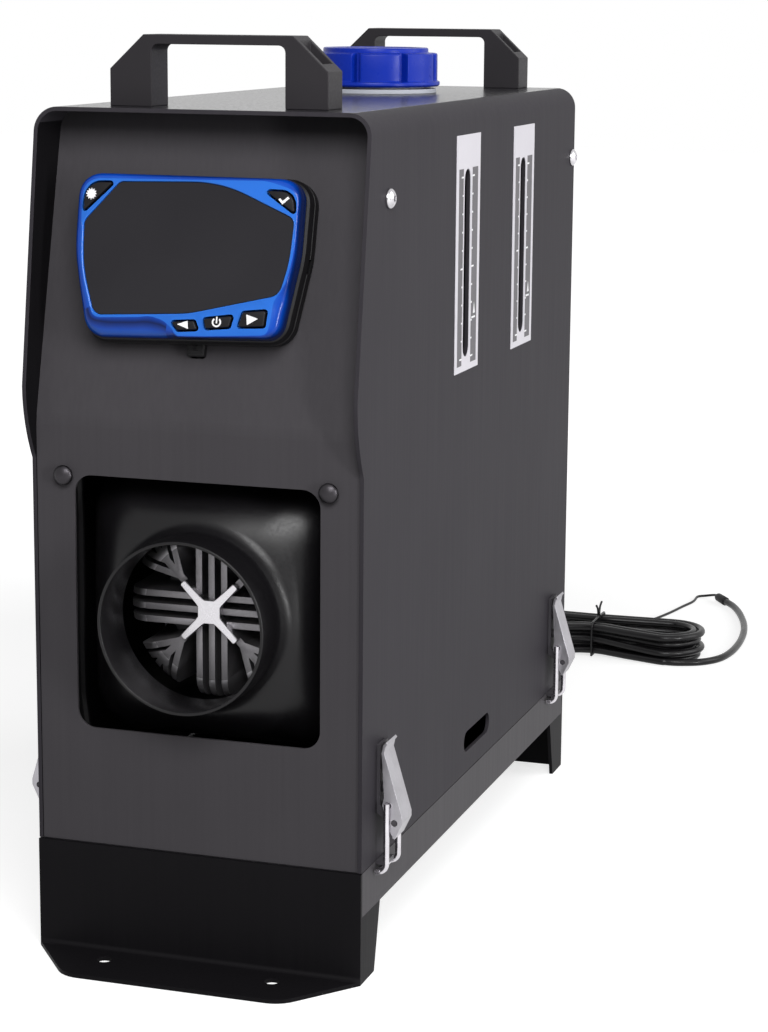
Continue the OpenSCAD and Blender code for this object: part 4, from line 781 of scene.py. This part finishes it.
# %% Housing, window and keys
def housing():
    outline = rounded([(-55.2, 103.2), (45.3, 102.8), (45.1, 72), (39.5, 37.8), (-46.6, 35.5), (-55.1, 72)],
                      (10, 9, 60, 8, 9, 60), 14)
    profile = [(1.2, 0.05), (1.9, 0.6), (2.0, 1.6), (2.0, 5.1), (1.55, 5.35), (1.55, 5.75), (2.0, 6.0),
               (1.7, 8.2), (1.1, 9.4), (0.1, HOUSING_N)]
    shell = plate("controller_housing", outline, profile, abs_housing, sharp=40)
    notch = plate("notch", np.array([(44.0, 66.0), (50.0, 66.0), (50.0, 72.0), (44.0, 72.0)]),
                  [(0, 3.2), (0, 6.4)], abs_housing)
    recess = plate("recess", window_outline, [(0.4, HOUSING_N - 2.6), (0.4, HOUSING_N + 2)], abs_housing)
    slot = block("lead_slot_cut", -4.2, 1.2, 30, 42, 0.5, 3, [(0, -1), (0, 3.6)], abs_housing)
    drill(shell, [notch, recess, slot])
    stands_for(shell, "lcd_housing")


housing()
pane = plate("controller_window", window_outline,
             [(-0.25, 14.4), (-0.12, 14.5), (-0.12, 17.2), (-0.2, 17.36), (-0.5, 17.4)], acrylic)
stands_for(pane, "lcd_screen")
key_profile = [(-0.45, 15.3), (-0.4, 15.4), (-0.4, 18.4), (-0.48, 18.66), (-0.65, 18.8), (-0.85, KEY_N)]
for node, outline in key_outlines.items():
    stands_for(plate(node + "_cap", outline, key_profile, abs_key, sharp=60), node)
print("keys:", len(key_outlines))

# %% [markdown]
# Each key carries one printed sign that stands 0.06 mm proud: a sun for the mode, a tick for confirm, two
# arrows, and the power sign.

# %% Signs on the keys
def print_sign(name, node, *outlines):
    points, faces = [], []
    for outline in (np.array(o, float) for o in outlines):
        if signed_area(outline) < 0:
            outline = outline[::-1]
        points_before = len(points)
        points += [panel_point(x, s, KEY_N + n) for n in (-0.03, 0.06) for x, s in outline]
        faces += [tuple(points_before + i for i in f) for f in lids(2, len(outline)) + skin(2, len(outline))]
    stands_for(piece_from(name, points, faces, ink_white, sharp=20), node, hides=False)


print_sign("sign_sun", "key_mode",
           [polar(1.75 if k % 2 else 2.55, pi * k / 12, (-47.5, 94.3)) for k in range(24)])
print_sign("sign_tick", "key_confirm",
           [(35.9, 94.4), (36.6, 95.0), (37.8, 93.8), (40.0, 95.7), (40.7, 94.9), (37.8, 92.4)])
print_sign("sign_left", "key_left", [(-4.2, 41.3), (0.4, 42.9), (0.9, 39.5)])
print_sign("sign_right", "key_right", [(26.0, 46.7), (31.2, 45.1), (26.6, 42.3)])
arc_in, arc_out = ([polar(r, radians(130 + 14 * k), (13.2, 42.9)) for k in range(21)] for r in (1.35, 2.05))
print_sign("sign_power", "key_power", arc_out + arc_in[::-1],
           [(12.9, 42.4), (13.5, 42.4), (13.5, 45.2), (12.9, 45.2)])
print("signs done")

# %% [markdown]
# The lead leaves the housing's foot as a flat rubber boot with two grip ribs and goes through the panel's
# slot; behind the panel it keeps its solid.

# %% Lead boot
boot = block("lead_boot_rubber", -5.4, 2.4, 29.9, 37.4, 0.8, 4,
             [(-0.3, 0.05), (0, 0.3), (0, 2.6), (-0.5, 3.2), (-0.9, 3.3)], rubber)
ribs = [block("lead_boot_rib_%d" % k, -5.0, 2.0, s, s + 0.9, 0.3, 2, [(0, 2.9), (0, 3.5)], rubber)
        for k, s in enumerate((31.2, 33.2))]
for piece in [boot] + ribs:
    stands_for(piece, "controller_lead", hides=False)
print("boot done")

# %% [markdown]
# ## Repeating pieces
# Ticks, screws, guard wires and spokes repeat by a rule, so a Geometry Nodes tree lays them out.

# %% Trees with named inputs
KINDS = {int: "NodeSocketInt", float: "NodeSocketFloat", tuple: "NodeSocketVector"}


def rule_tree(name, **inputs):
    tree = bpy.data.node_groups.new(name, "GeometryNodeTree")
    tree.interface.new_socket("Shape", in_out="INPUT", socket_type="NodeSocketGeometry")
    for key, value in inputs.items():
        tree.interface.new_socket(key, in_out="INPUT", socket_type=KINDS[type(value)]).default_value = value
    tree.interface.new_socket("Shape", in_out="OUTPUT", socket_type="NodeSocketGeometry")
    return tree, add(tree, "NodeGroupInput").outputs


def end_tree(tree, geometry, material):
    plain = made(tree, "RealizeInstances", {"Geometry": geometry})
    painted = made(tree, "SetMaterial", {"Geometry": plain, "Material": material})
    add(tree, "NodeGroupOutput", {"Shape": painted})


def on_points(tree, points, instance, scale, **more):
    """Puts an instance on every point."""
    sockets = {"Points": points, "Instance": instance, "Scale": scale, **more}
    return made(tree, "InstanceOnPoints", sockets)


def by_rule(piece, tree, sharp=35, **values):
    """Runs a tree on a piece with these input values and keeps the plain mesh."""
    rule = piece.modifiers.new("rule", "NODES")
    rule.node_group = tree
    for item in tree.interface.items_tree:
        if item.in_out == "INPUT" and item.name in values:
            rule[item.identifier] = values[item.name]
    settle(piece)
    mark_sharp(piece.data, sharp)
    return piece


print("input kinds:", sorted(KINDS.values()))

# %% [markdown]
# The level windows are slots in printed film labels: a silver plate, a charcoal strip on both sides of the
# slot, and white ticks. The words of the real label are left off and their place is bare. Prints lie
# 0.04 to 0.08 mm proud of the film, which keeps them from flickering through it.

# %% Label plates, strips and marks
WINDOW_Z, WINDOW_L, WINDOW_W = 295.5, 85.0, 9.0
LABELS = (("front", -27.0), ("rear", 69.5))      # y of the windows
STRIPS = (("left", -13.9, -6.8), ("right", 7.6, 16.6))
FILM_X, INK_X = SIDE + 0.3, SIDE + 0.34          # faces of the film and of the charcoal ink


def slot_points(y, width, length, steps=12):
    half = (length - width) / 2
    return [polar(width / 2, start + pi * k / steps, (y, z)) for z, start in
            ((WINDOW_Z + half, 0.0), (WINDOW_Z - half, pi)) for k in range(steps + 1)]


def side_sheet(name, rings, x0, x1, material):
    """A thin sheet on the right side of the cover: an outline of (y, z) points, and a hole or none."""
    shape = bmesh.new()
    for ring in rings:
        verts = [shape.verts.new((x1, y, z)) for y, z in ring]
        for a, b in zip(verts, verts[1:] + verts[:1]):
            shape.edges.new((a, b))
    bmesh.ops.triangle_fill(shape, use_beauty=True, edges=shape.edges[:], normal=(1, 0, 0))
    pulled = bmesh.ops.extrude_face_region(shape, geom=shape.faces[:])["geom"]
    for vert in (v for v in pulled if isinstance(v, bmesh.types.BMVert)):
        vert.co.x = x0
    bmesh.ops.recalc_face_normals(shape, faces=shape.faces[:])
    return piece_from(name, *take_apart(shape), material, sharp=20)


def box_outline(y0, y1, z0, z1):
    return [(y0, z0), (y1, z0), (y1, z1), (y0, z1)]


MARKS = (box_outline(8.6, 14.6, 269.2, 270.1), [(11.0, 271.4), (14.2, 271.4), (12.6, 276.6)])
for place, y in LABELS:
    rings = [box_outline(y - 17.4, y + 20.4, 246.0, 354.0), slot_points(y, WINDOW_W + 1, WINDOW_L + 1)]
    stands_for(side_sheet("label_film_" + place, rings, SIDE - 0.02, FILM_X, film_label), "level_labels")
    for side, a, b in STRIPS:
        strip = side_sheet("label_strip_%s_%s" % (place, side), [box_outline(y + a, y + b, 249.0, 338.8)],
                           FILM_X - 0.01, INK_X, ink_dark)
        stands_for(strip, "level_labels", hides=False)
    for k, mark in enumerate(MARKS):
        sheet = side_sheet("level_mark_%s_%d" % (place, k), [[(y + a, z) for a, z in mark]], INK_X - 0.01,
                           INK_X + 0.04, ink_white)
        stands_for(sheet, "level_labels", hides=False)
print("labels:", len(LABELS), "strips:", len(LABELS) * len(STRIPS))

# %% [markdown]
# A ruler is one tick, repeated along a Mesh Line, with a scale that makes every fifth tick longer.

# %% Level ticks
tree, given = rule_tree("ruler", Count=11, Pitch=0.0083, Short=0.0014, Long=0.0034, Height=0.0008,
                        Start=(0.0, 0.0, 0.0), Side=1.0)
down = made(tree, "CombineXYZ", {"Z": calc(tree, "MULTIPLY", given["Pitch"], -1.0)})
line = made(tree, "MeshLine", {"Count": given["Count"], "Start Location": given["Start"], "Offset": down})
turn = calc(tree, "MODULO", made(tree, "InputIndex"), 5.0)
is_long = made(tree, "Compare", {0: turn, 1: 0.5}, operation="LESS_THAN", data_type="FLOAT")
length = made(tree, "Switch", {"Switch": is_long, "False": given["Short"], "True": given["Long"]},
              input_type="FLOAT")
half_way = calc(tree, "MULTIPLY", length, calc(tree, "MULTIPLY", given["Side"], 0.5))
moved = made(tree, "SetPosition", {"Geometry": line, "Offset": made(tree, "CombineXYZ", {"Y": half_way})})
end_tree(tree, on_points(tree, moved, made(tree, "MeshCube", {"Size": (1.0, 1.0, 1.0)}),
                         made(tree, "CombineXYZ", {"X": 0.00006, "Y": length, "Z": given["Height"]})),
         ink_white)
for place, y in LABELS:
    for side, at, way in (("left", -6.8, -1.0), ("right", 7.6, 1.0)):
        ruler = piece_from("label_ticks_%s_%s" % (place, side), [], [], ink_white)
        by_rule(ruler, tree, sharp=20, Start=((SIDE + 0.35) * MM, (y + at) * MM, 335.0 * MM), Side=way)
        stands_for(ruler, "level_labels", hides=False)
print("rulers:", 2 * len(LABELS))

# %% [markdown]
# ## Filler cap and neck
# A moulded lid: a round disc with two grip pockets, eight lobes with narrow grooves between them, and a
# thin flange. Its side is a stack of rings, with a radius that changes round the lobes.

# %% Fuel cap
CAP_Z, CAP_R, LOBE_R, FLANGE_R = 371.8, 25.9, 30.5, 31.7
LOBES, GROOVE, POCKET_R, HALF_BAR = 8, 1.6, 21.9, 5.3
groove_walls = [k * 2 * pi / LOBES + way * (GROOVE + off) / LOBE_R
                for k in range(LOBES) for way in (-1, 1) for off in np.linspace(-0.8, 0.8, 11)]
cap_angles = np.unique(np.round(np.mod(list(full_turn(180)) + groove_walls, 2 * pi), 5))


def ring_stack(name, rings, material, sharp=35):
    """A closed piece from rings of (x, y, z) points, all with the same count, from the foot to the top."""
    rows, count = len(rings), len(rings[0])
    return piece_from(name, [p for ring in rings for p in ring], skin(rows, count) + lids(rows, count),
                      material, sharp)


def lobe_radius(a, r_lobe, r_groove, soft=0.75):
    """Radius at angle a: r_lobe on a lobe, r_groove in a groove, with a soft corner at each side."""
    step = 2 * pi / LOBES
    off = abs((a + step / 2) % step - step / 2) * r_lobe
    t = min(1.0, max(0.0, (off - GROOVE + soft) / (2 * soft)))
    return r_groove + (r_lobe - r_groove) * t * t * (3 - 2 * t)


def cap_rings(steps, lobed=False):
    """Rings from (z, radius) steps; lobed steps are (z, how far the lobes draw in)."""
    return [[(*polar(lobe_radius(a, LOBE_R - r, CAP_R + 0.2) if lobed else r, a, (0.0, CAP_Y)), CAP_Z + z)
             for a in cap_angles] for z, r in steps]


def fuel_cap():
    flange = [(12.2, 24.4), (0.4, 24.4), (0.0, 24.8), (0.0, FLANGE_R - 1.0), (0.35, FLANGE_R - 0.45),
              (0.9, FLANGE_R), (1.9, FLANGE_R), (2.3, FLANGE_R - 0.15), (2.5, FLANGE_R - 0.5)]
    grip = [(2.55, -0.35), (3.1, 0.0), (9.0, 0.0), (15.0, 0.05), (15.6, 0.15), (15.95, 0.5), (16.1, 1.2)]
    disc = [(16.2, CAP_R + 0.5), (16.6, CAP_R + 0.05), (17.8, CAP_R), (18.25, CAP_R - 0.12),
            (18.52, CAP_R - 0.4), (18.6, CAP_R - 0.9), (18.6, POCKET_R + 0.2), (18.5, POCKET_R)]
    stack = cap_rings(flange) + cap_rings(grip, lobed=True) + cap_rings(disc)
    start = asin(HALF_BAR / POCKET_R)
    arc = [polar(POCKET_R, start + (pi - 2 * start) * k / 40) for k in range(41)]
    pockets = []
    for side in (-1, 1):
        rings = [[(x * s, CAP_Y + side * (HALF_BAR + (y - HALF_BAR) * s), CAP_Z + z) for x, y in arc][::side]
                 for z, s in ((15.9, 0.93), (16.2, 0.965), (16.8, 0.985), (20.0, 1.0))]
        pockets.append(ring_stack("pocket", rings, pp_blue))
    return drill(ring_stack("fuel_cap_moulded", stack, pp_blue, sharp=50), pockets)


stands_for(fuel_cap(), "fuel_cap")
dressed("filler_neck", "filler_neck_moulded", pp_grey, 0.35, 3)
print("cap", 2 * FLANGE_R, "mm wide")

# %% [markdown]
# ## Warm-air outlet
# The hood is a blow-moulded duct from a rounded square to a round spigot: rings at the same angles, blended
# from the square to the circle along a shallow arc, so the shoulder carries one soft highlight.

# %% Outlet hood
SQUARE, CORNER, WALL, ROOT_R, SPIGOT_R = 59, 20, 2.0, 40.5, 37.5
air_angles = full_turn(192)[::-1]


def square_radius(a, half, r):
    """Radius of a square of that half width with corner radius r, at angle a."""
    c, s = abs(cos(a)), abs(sin(a))
    straight = half / max(c, s)
    if min(c, s) * straight <= half - r:
        return straight
    b = (half - r) * (c + s)
    return b + sqrt(max(0.0, b * b - 2 * (half - r) ** 2 + r * r))


def air_ring(y, radius):
    """A ring round the warm-air axis; radius is a number or a function of the angle."""
    at = radius if callable(radius) else lambda a: radius
    return [(at(a) * cos(a), y, AXIS_Z + at(a) * sin(a)) for a in air_angles]


def ring_tube(name, rings, material, sharp=35):
    """A ring-shaped solid: the last ring joins the first."""
    faces = skin(len(rings), len(rings[0]), closed=True)
    return piece_from(name, [p for ring in rings for p in ring], [f[::-1] for f in faces], material, sharp)


def square_ring(y, wall, mix=0.0):
    """A rounded square that mix turns into the circle at the spigot's root."""
    return air_ring(y, lambda a: square_radius(a, SQUARE - wall, CORNER - wall) * (1 - mix)
                    + (ROOT_R - wall) * mix)


def hood_ring(t, wall=0.0):
    """t goes from 0 at the square edge to 1 at the spigot's root."""
    back, front = FRONT + 30.0, FRONT + 4.5
    y = back - (back - front) * (0.5 * t + 0.5 * sin(t * pi / 2)) + wall
    return square_ring(y, wall, 0.55 * t + 0.45 * (1 - cos(t * pi / 2)))


spigot = [(2.6, 39.6), (1.4, 38.4), (-0.4, 37.7), (-2.2, SPIGOT_R), (-17.0, SPIGOT_R), (-17.38, 37.3),
          (-17.5, 37.05), (-17.5, 36.4), (-17.35, 36.1), (-17.0, 36.0), (6.0, 36.0), (8.0, 37.5)]
hood_rings = [square_ring(FRONT + 34, 0)] + [hood_ring(k / 14) for k in range(15)]
hood_rings += [air_ring(FRONT + y, r) for y, r in spigot]
hood_rings += [hood_ring(k / 14, WALL) for k in range(13, -1, -1)] + [square_ring(FRONT + 34, WALL)]
hood = ring_tube("outlet_hood_moulded", hood_rings, nylon_hood, sharp=50)
stands_for(hood, "outlet_hood")
print("hood faces:", len(hood.data.polygons))

# %% [markdown]
# The heat exchanger's solid already has its fins. Their ends bend back from the front, which is a quarter
# circle turned round the axis and taken off as a boolean; the cut faces take a lighter aluminium as painted
# highlight. A machined star stands proud at the centre, in a lighter aluminium as painted highlight.

# %% Heat exchanger
EXCH_FRONT, FIN_R, BEND = FRONT + 16.0, 31.0, 9
exchanger = dressed("heat_exchanger", "heat_exchanger_cast", cast_alloy, edge=0.3, hides=False)
quarter = [(3.0 + BEND * (1 - cos(a)), FIN_R + BEND * sin(a))
           for a in (radians(9 * k) for k in range(1, 11))]
bend = [(-6, FIN_R), (3.0, FIN_R)] + quarter + [(34.0, 41.0), (60.0, 47.5), (60.0, 70.0), (-6, 70.0)]
# The cutter's lighter aluminium passes to the cut fin ends: painted highlight.
drill(exchanger, [ring_tube("fin_bend", [air_ring(EXCH_FRONT + y, r) for y, r in bend], fin_end_painted_highlight)])
stands_for(exchanger, "heat_exchanger")
arm = [(6.6, -1.9), (16.8, -1.45), (17.4, -0.9), (17.4, 0.9), (16.8, 1.45), (6.6, 1.9)]
notch = [(5.2, -2.2), (5.2, 2.2)]


def star_outline():
    """Four arms on the diagonals, with a flat notch between each two."""
    points = []
    for quarter in range(4):
        for corners, a in ((arm, pi / 4), (notch, pi / 2)):
            a += quarter * pi / 2
            u, v = np.array((cos(a), sin(a))), np.array((-sin(a), cos(a)))
            points += [along * u + across * v for along, across in corners]
    return np.array(points)


star_rings = [[(x, EXCH_FRONT + y, AXIS_Z + z) for x, z in grown(star_outline(), g)]
              for y, g in ((3.5, 0.0), (-0.1, 0.0), (-0.35, -0.25))]
# The star's lighter aluminium is painted highlight.
stands_for(ring_stack("heat_exchanger_star", star_rings, star_painted_highlight, sharp=30), "heat_exchanger")
print("exchanger faces:", len(exchanger.data.polygons))

# %% [markdown]
# ## Screws
# Ten button heads hold the case. A tree puts one head, with a hexagon socket or plain, on every point,
# turned to the normal kept in the attribute `facing`.

# %% Button heads
def button_head(name, socket, material, radius=4.3, height=3.0):
    def dome(r):
        return height * sqrt(max(0.0, 1 - (r / radius) ** 2 * 0.88))

    def hexagon(a, r):
        return r * cos(pi / 6) / cos((a % (pi / 3)) - pi / 6)

    steps = [(radius - 0.25, 0.0), (radius, 0.2), (radius, dome(radius))]
    steps += [(r, dome(r)) for r in (4.0, 3.6, 3.1, 2.5, 1.9 if socket else 1.6)]
    if not socket:
        steps.append((0.8, height * 0.985))
    rings = [[(*polar(r, a), z) for a in full_turn(24)] for r, z in steps]
    if socket:
        rings += [[(*polar(hexagon(a, r), a), dome(1.7) - deep) for a in full_turn(24)]
                  for r, deep in ((1.62, 0.05), (1.5, 0.3), (1.5, 1.5))]
    return ring_stack(name, rings, material, sharp=40)


def screws(name, node, head, material, places):
    """Puts a head at each place, a (point, facing) pair."""
    tree, given = rule_tree(name, Size=1.0)
    source = add(tree, "GeometryNodeObjectInfo", {"Object": head}).outputs["Geometry"]
    facing = made(tree, "InputNamedAttribute", {"Name": "facing"}, data_type="FLOAT_VECTOR")
    turned = made(tree, "AlignRotationToVector", {"Vector": facing}, axis="Z")
    end_tree(tree, on_points(tree, given["Shape"], source, given["Size"], Rotation=turned), material)
    piece = piece_from(name, [p for p, f in places], [], material)
    facings = piece.data.attributes.new("facing", "FLOAT_VECTOR", "POINT")
    facings.data.foreach_set("vector", [c for p, f in places for c in f])
    by_rule(piece, tree, sharp=40, Size=1.0)
    bpy.data.objects.remove(head)
    stands_for(piece, node)


sides = (-1, 1)
case_places = [((side * SIDE, y, 333.0), (side, 0, 0)) for side in sides for y in (FRONT + 31, REAR - 6)]
case_places += [((side * 40.5, y, TOP + 6.0), (0, 0, 1)) for side in sides for y in (FRONT + 38, REAR - 9.5)]
panel_places = [((side * 60.0, FRONT, 213.5), (0, -1, 0)) for side in sides]
screws("case_screw_heads", "case_screws", button_head("socket_head", True, nickel_screw), nickel_screw,
       case_places)
screws("panel_screw_heads", "panel_screws", button_head("plain_head", False, black_screw), black_screw,
       panel_places)
print("screws:", len(case_places) + len(panel_places))

# %% [markdown]
# ## Air inlet guard and cord gland
# A moulded collar with four wire rings, one circle scaled by its index, and eight spokes. The gland is the
# cord's strain relief, so it tapers and has five soft ribs that let it bend.

# %% Air inlet guard and gland
collar = [(-46.2, 49.6), (-46.2, 48.3), (0.9, 48.0), (1.4, 48.4), (1.5, 49.0), (1.5, 54.2), (1.3, 54.8),
          (0.9, 55.0), (-1.0, 55.0), (-1.4, 54.6), (-1.45, 49.9)]
collar_rings = [air_ring(REAR + y, r) for y, r in collar]
stands_for(ring_tube("intake_collar_moulded", collar_rings, nylon_hood, sharp=40), "intake_grille")
tree, given = rule_tree("guard_wires", Rings=4, First=0.012, Pitch=0.009, Wire=0.00105, Reach=0.0485,
                        Centre=(0.0, (REAR - 0.3) * MM, AXIS_Z * MM))
index = made(tree, "InputIndex")
still = (0.0, 0.0, 0.0)
circle = made(tree, "CurvePrimitiveCircle", {"Resolution": 96, "Radius": 1.0}, mode="RADIUS")
circles = on_points(tree, made(tree, "MeshLine", {"Count": given["Rings"], "Offset": still}), circle,
                    calc(tree, "ADD", calc(tree, "MULTIPLY", index, given["Pitch"]), given["First"]))
spoke = made(tree, "CurvePrimitiveLine", {"Start": (-1.0, 0.0, 0.0), "End": (1.0, 0.0, 0.0)})
angle = calc(tree, "MULTIPLY", index, pi / 4)
spokes = on_points(tree, made(tree, "MeshLine", {"Count": 4, "Offset": still}), spoke,
                   given["Reach"], Rotation=made(tree, "CombineXYZ", {"Z": angle}))
both = add(tree, "JoinGeometry")
for wires in (circles, spokes):
    tree.links.new(wires, both.inputs[0])
flat = made(tree, "RealizeInstances", {"Geometry": both.outputs[0]})
profile = made(tree, "CurvePrimitiveCircle", {"Resolution": 10, "Radius": given["Wire"]}, mode="RADIUS")
wires = made(tree, "CurveToMesh", {"Curve": flat, "Profile Curve": profile})
placed = made(tree, "Transform", {"Geometry": wires, "Rotation": (pi / 2, 0.0, 0.0),
                                  "Translation": given["Centre"]})
end_tree(tree, placed, nylon_hood)
guard = by_rule(piece_from("intake_guard_wires", [], [], nylon_hood), tree, sharp=60)
stands_for(guard, "intake_grille")

gland_steps = [(-11.9, 2.4), (-11.9, 5.5), (-11.4, 5.95), (-1.5, 5.95), (-1.45, 9.0), (-1.2, 9.4), (1.5, 9.4),
               (1.9, 9.1), (2.0, 8.6), (2.05, 6.6), (2.6, 6.0)]
for y, r in ((4.4 + 3.6 * k, 5.75 - 0.45 * k) for k in range(5)):
    gland_steps += [(y - 0.9, r), (y - 0.5, r - 0.9), (y + 0.5, r - 1.0), (y + 0.9, r - 0.2)]
gland_steps += [(22.6, 3.55), (23.6, 3.3), (23.95, 2.9), (23.95, 2.35)]
gland_rings = [[(GX + r * cos(a), REAR + y, GZ + r * sin(a)) for a in full_turn(32)] for y, r in gland_steps]
stands_for(ring_tube("cord_gland_ribbed", gland_rings, rubber, sharp=50), "cable_gland")
print("guard faces:", len(guard.data.polygons), "gland rings:", len(gland_steps))

# %% [markdown]
# ## Floor, light and background
# White paper that keeps only a faint contact shadow, and a world that is white to the camera and in mirror
# reflections but gives little light. A big soft box stands at the right, a smaller one in front above the
# case, and a tall narrow one at the front right. The front's lower half looks away from the upper box, so
# it stays darker than the leaning panel.

# %% Floor and world
def seen_directly(tree):
    """1 for rays from the camera, for mirror reflections and through glass, 0 for scattered light."""
    rays = add(tree, "LightPath").outputs
    straight = calc(tree, "MAXIMUM", rays["Is Camera Ray"], rays["Is Glossy Ray"])
    return calc(tree, "MAXIMUM", straight, rays["Is Transmission Ray"])


def mixed_surface(tree, output, scattered, direct):
    """Ends a tree with one shader for scattered light and another for what is seen directly."""
    mix = made(tree, "MixShader", {0: seen_directly(tree), 1: scattered, 2: direct})
    add(tree, output, {"Surface": mix})


def empty_tree(holder):
    holder.use_nodes = True
    holder.node_tree.nodes.clear()
    return holder.node_tree


def paper_floor():
    """White paper that fades into the white background 0.72 to 1 m away from the case."""
    material = bpy.data.materials.new("paper_white_matt")
    tree = empty_tree(material)
    at = add(tree, "TexCoord").outputs["Object"]
    fibre = made(tree, "TexNoise", {"Vector": at, "Scale": 400.0, "Detail": 2.0})
    colour = blend_colours(tree, spread(tree, fibre, 0, 1), "#b9b9b9", "#bdbdbd")
    place = made(tree, "Mapping", {"Vector": at, "Location": (0.0, -0.1, 0.0)})
    away = add(tree, "VectorMath", {0: place}, operation="LENGTH").outputs["Value"]
    strength = spread(tree, away, 0.72, 1.0, 0.45, 0.95)
    glow = made(tree, "Emission", {"Color": (1, 1, 1, 1), "Strength": strength})
    paper = made(tree, "AddShader", {0: made(tree, "BsdfDiffuse", {"Color": colour}), 1: glow})
    grey_paper = made(tree, "BsdfDiffuse", {"Color": srgb("#808080")})
    mixed_surface(tree, "OutputMaterial", grey_paper, paper)
    corners = [(-4000, -4000, 0), (4000, -4000, 0), (4000, 6000, 0), (-4000, 6000, 0)]
    floor = piece_from("paper_floor", corners, [(0, 1, 2, 3)], material)
    floor.location.z = -0.0002


def studio():
    world = bpy.data.worlds.new("studio_white")
    bpy.context.scene.world = world
    tree = empty_tree(world)
    dim, white = (made(tree, "Background", {"Color": (1, 1, 1, 1), "Strength": strength})
                  for strength in (0.16, 1.0))
    mixed_surface(tree, "OutputWorld", dim, white)


paper_floor()
studio()
print("floor and world ready")

# %% Lamps
def soft_box(name, at, look, width, height, watts):
    data = bpy.data.lights.new(name, "AREA")
    data.shape, data.size, data.size_y, data.energy = "RECTANGLE", width, height, watts
    lamp = in_scene(name, data)
    lamp.location = at
    lamp.rotation_euler = (Vector(look) - Vector(at)).to_track_quat("-Z", "Y").to_euler()


soft_box("soft_box_right", (1.9, 0.5, 1.0), (0, 0, 0.2), 1.4, 1.6, 22.0)
soft_box("soft_box_over", (0.35, -1.0, 0.9), (0, -0.17, 0.3), 0.7, 0.5, 14.0)
soft_box("strip_light_right", (2.0, -1.1, 0.45), (0, -0.17, 0.25), 0.2, 1.0, 24.0)
bpy.context.scene.view_settings.view_transform = "Standard"
print("lamps:", len(bpy.data.lights))
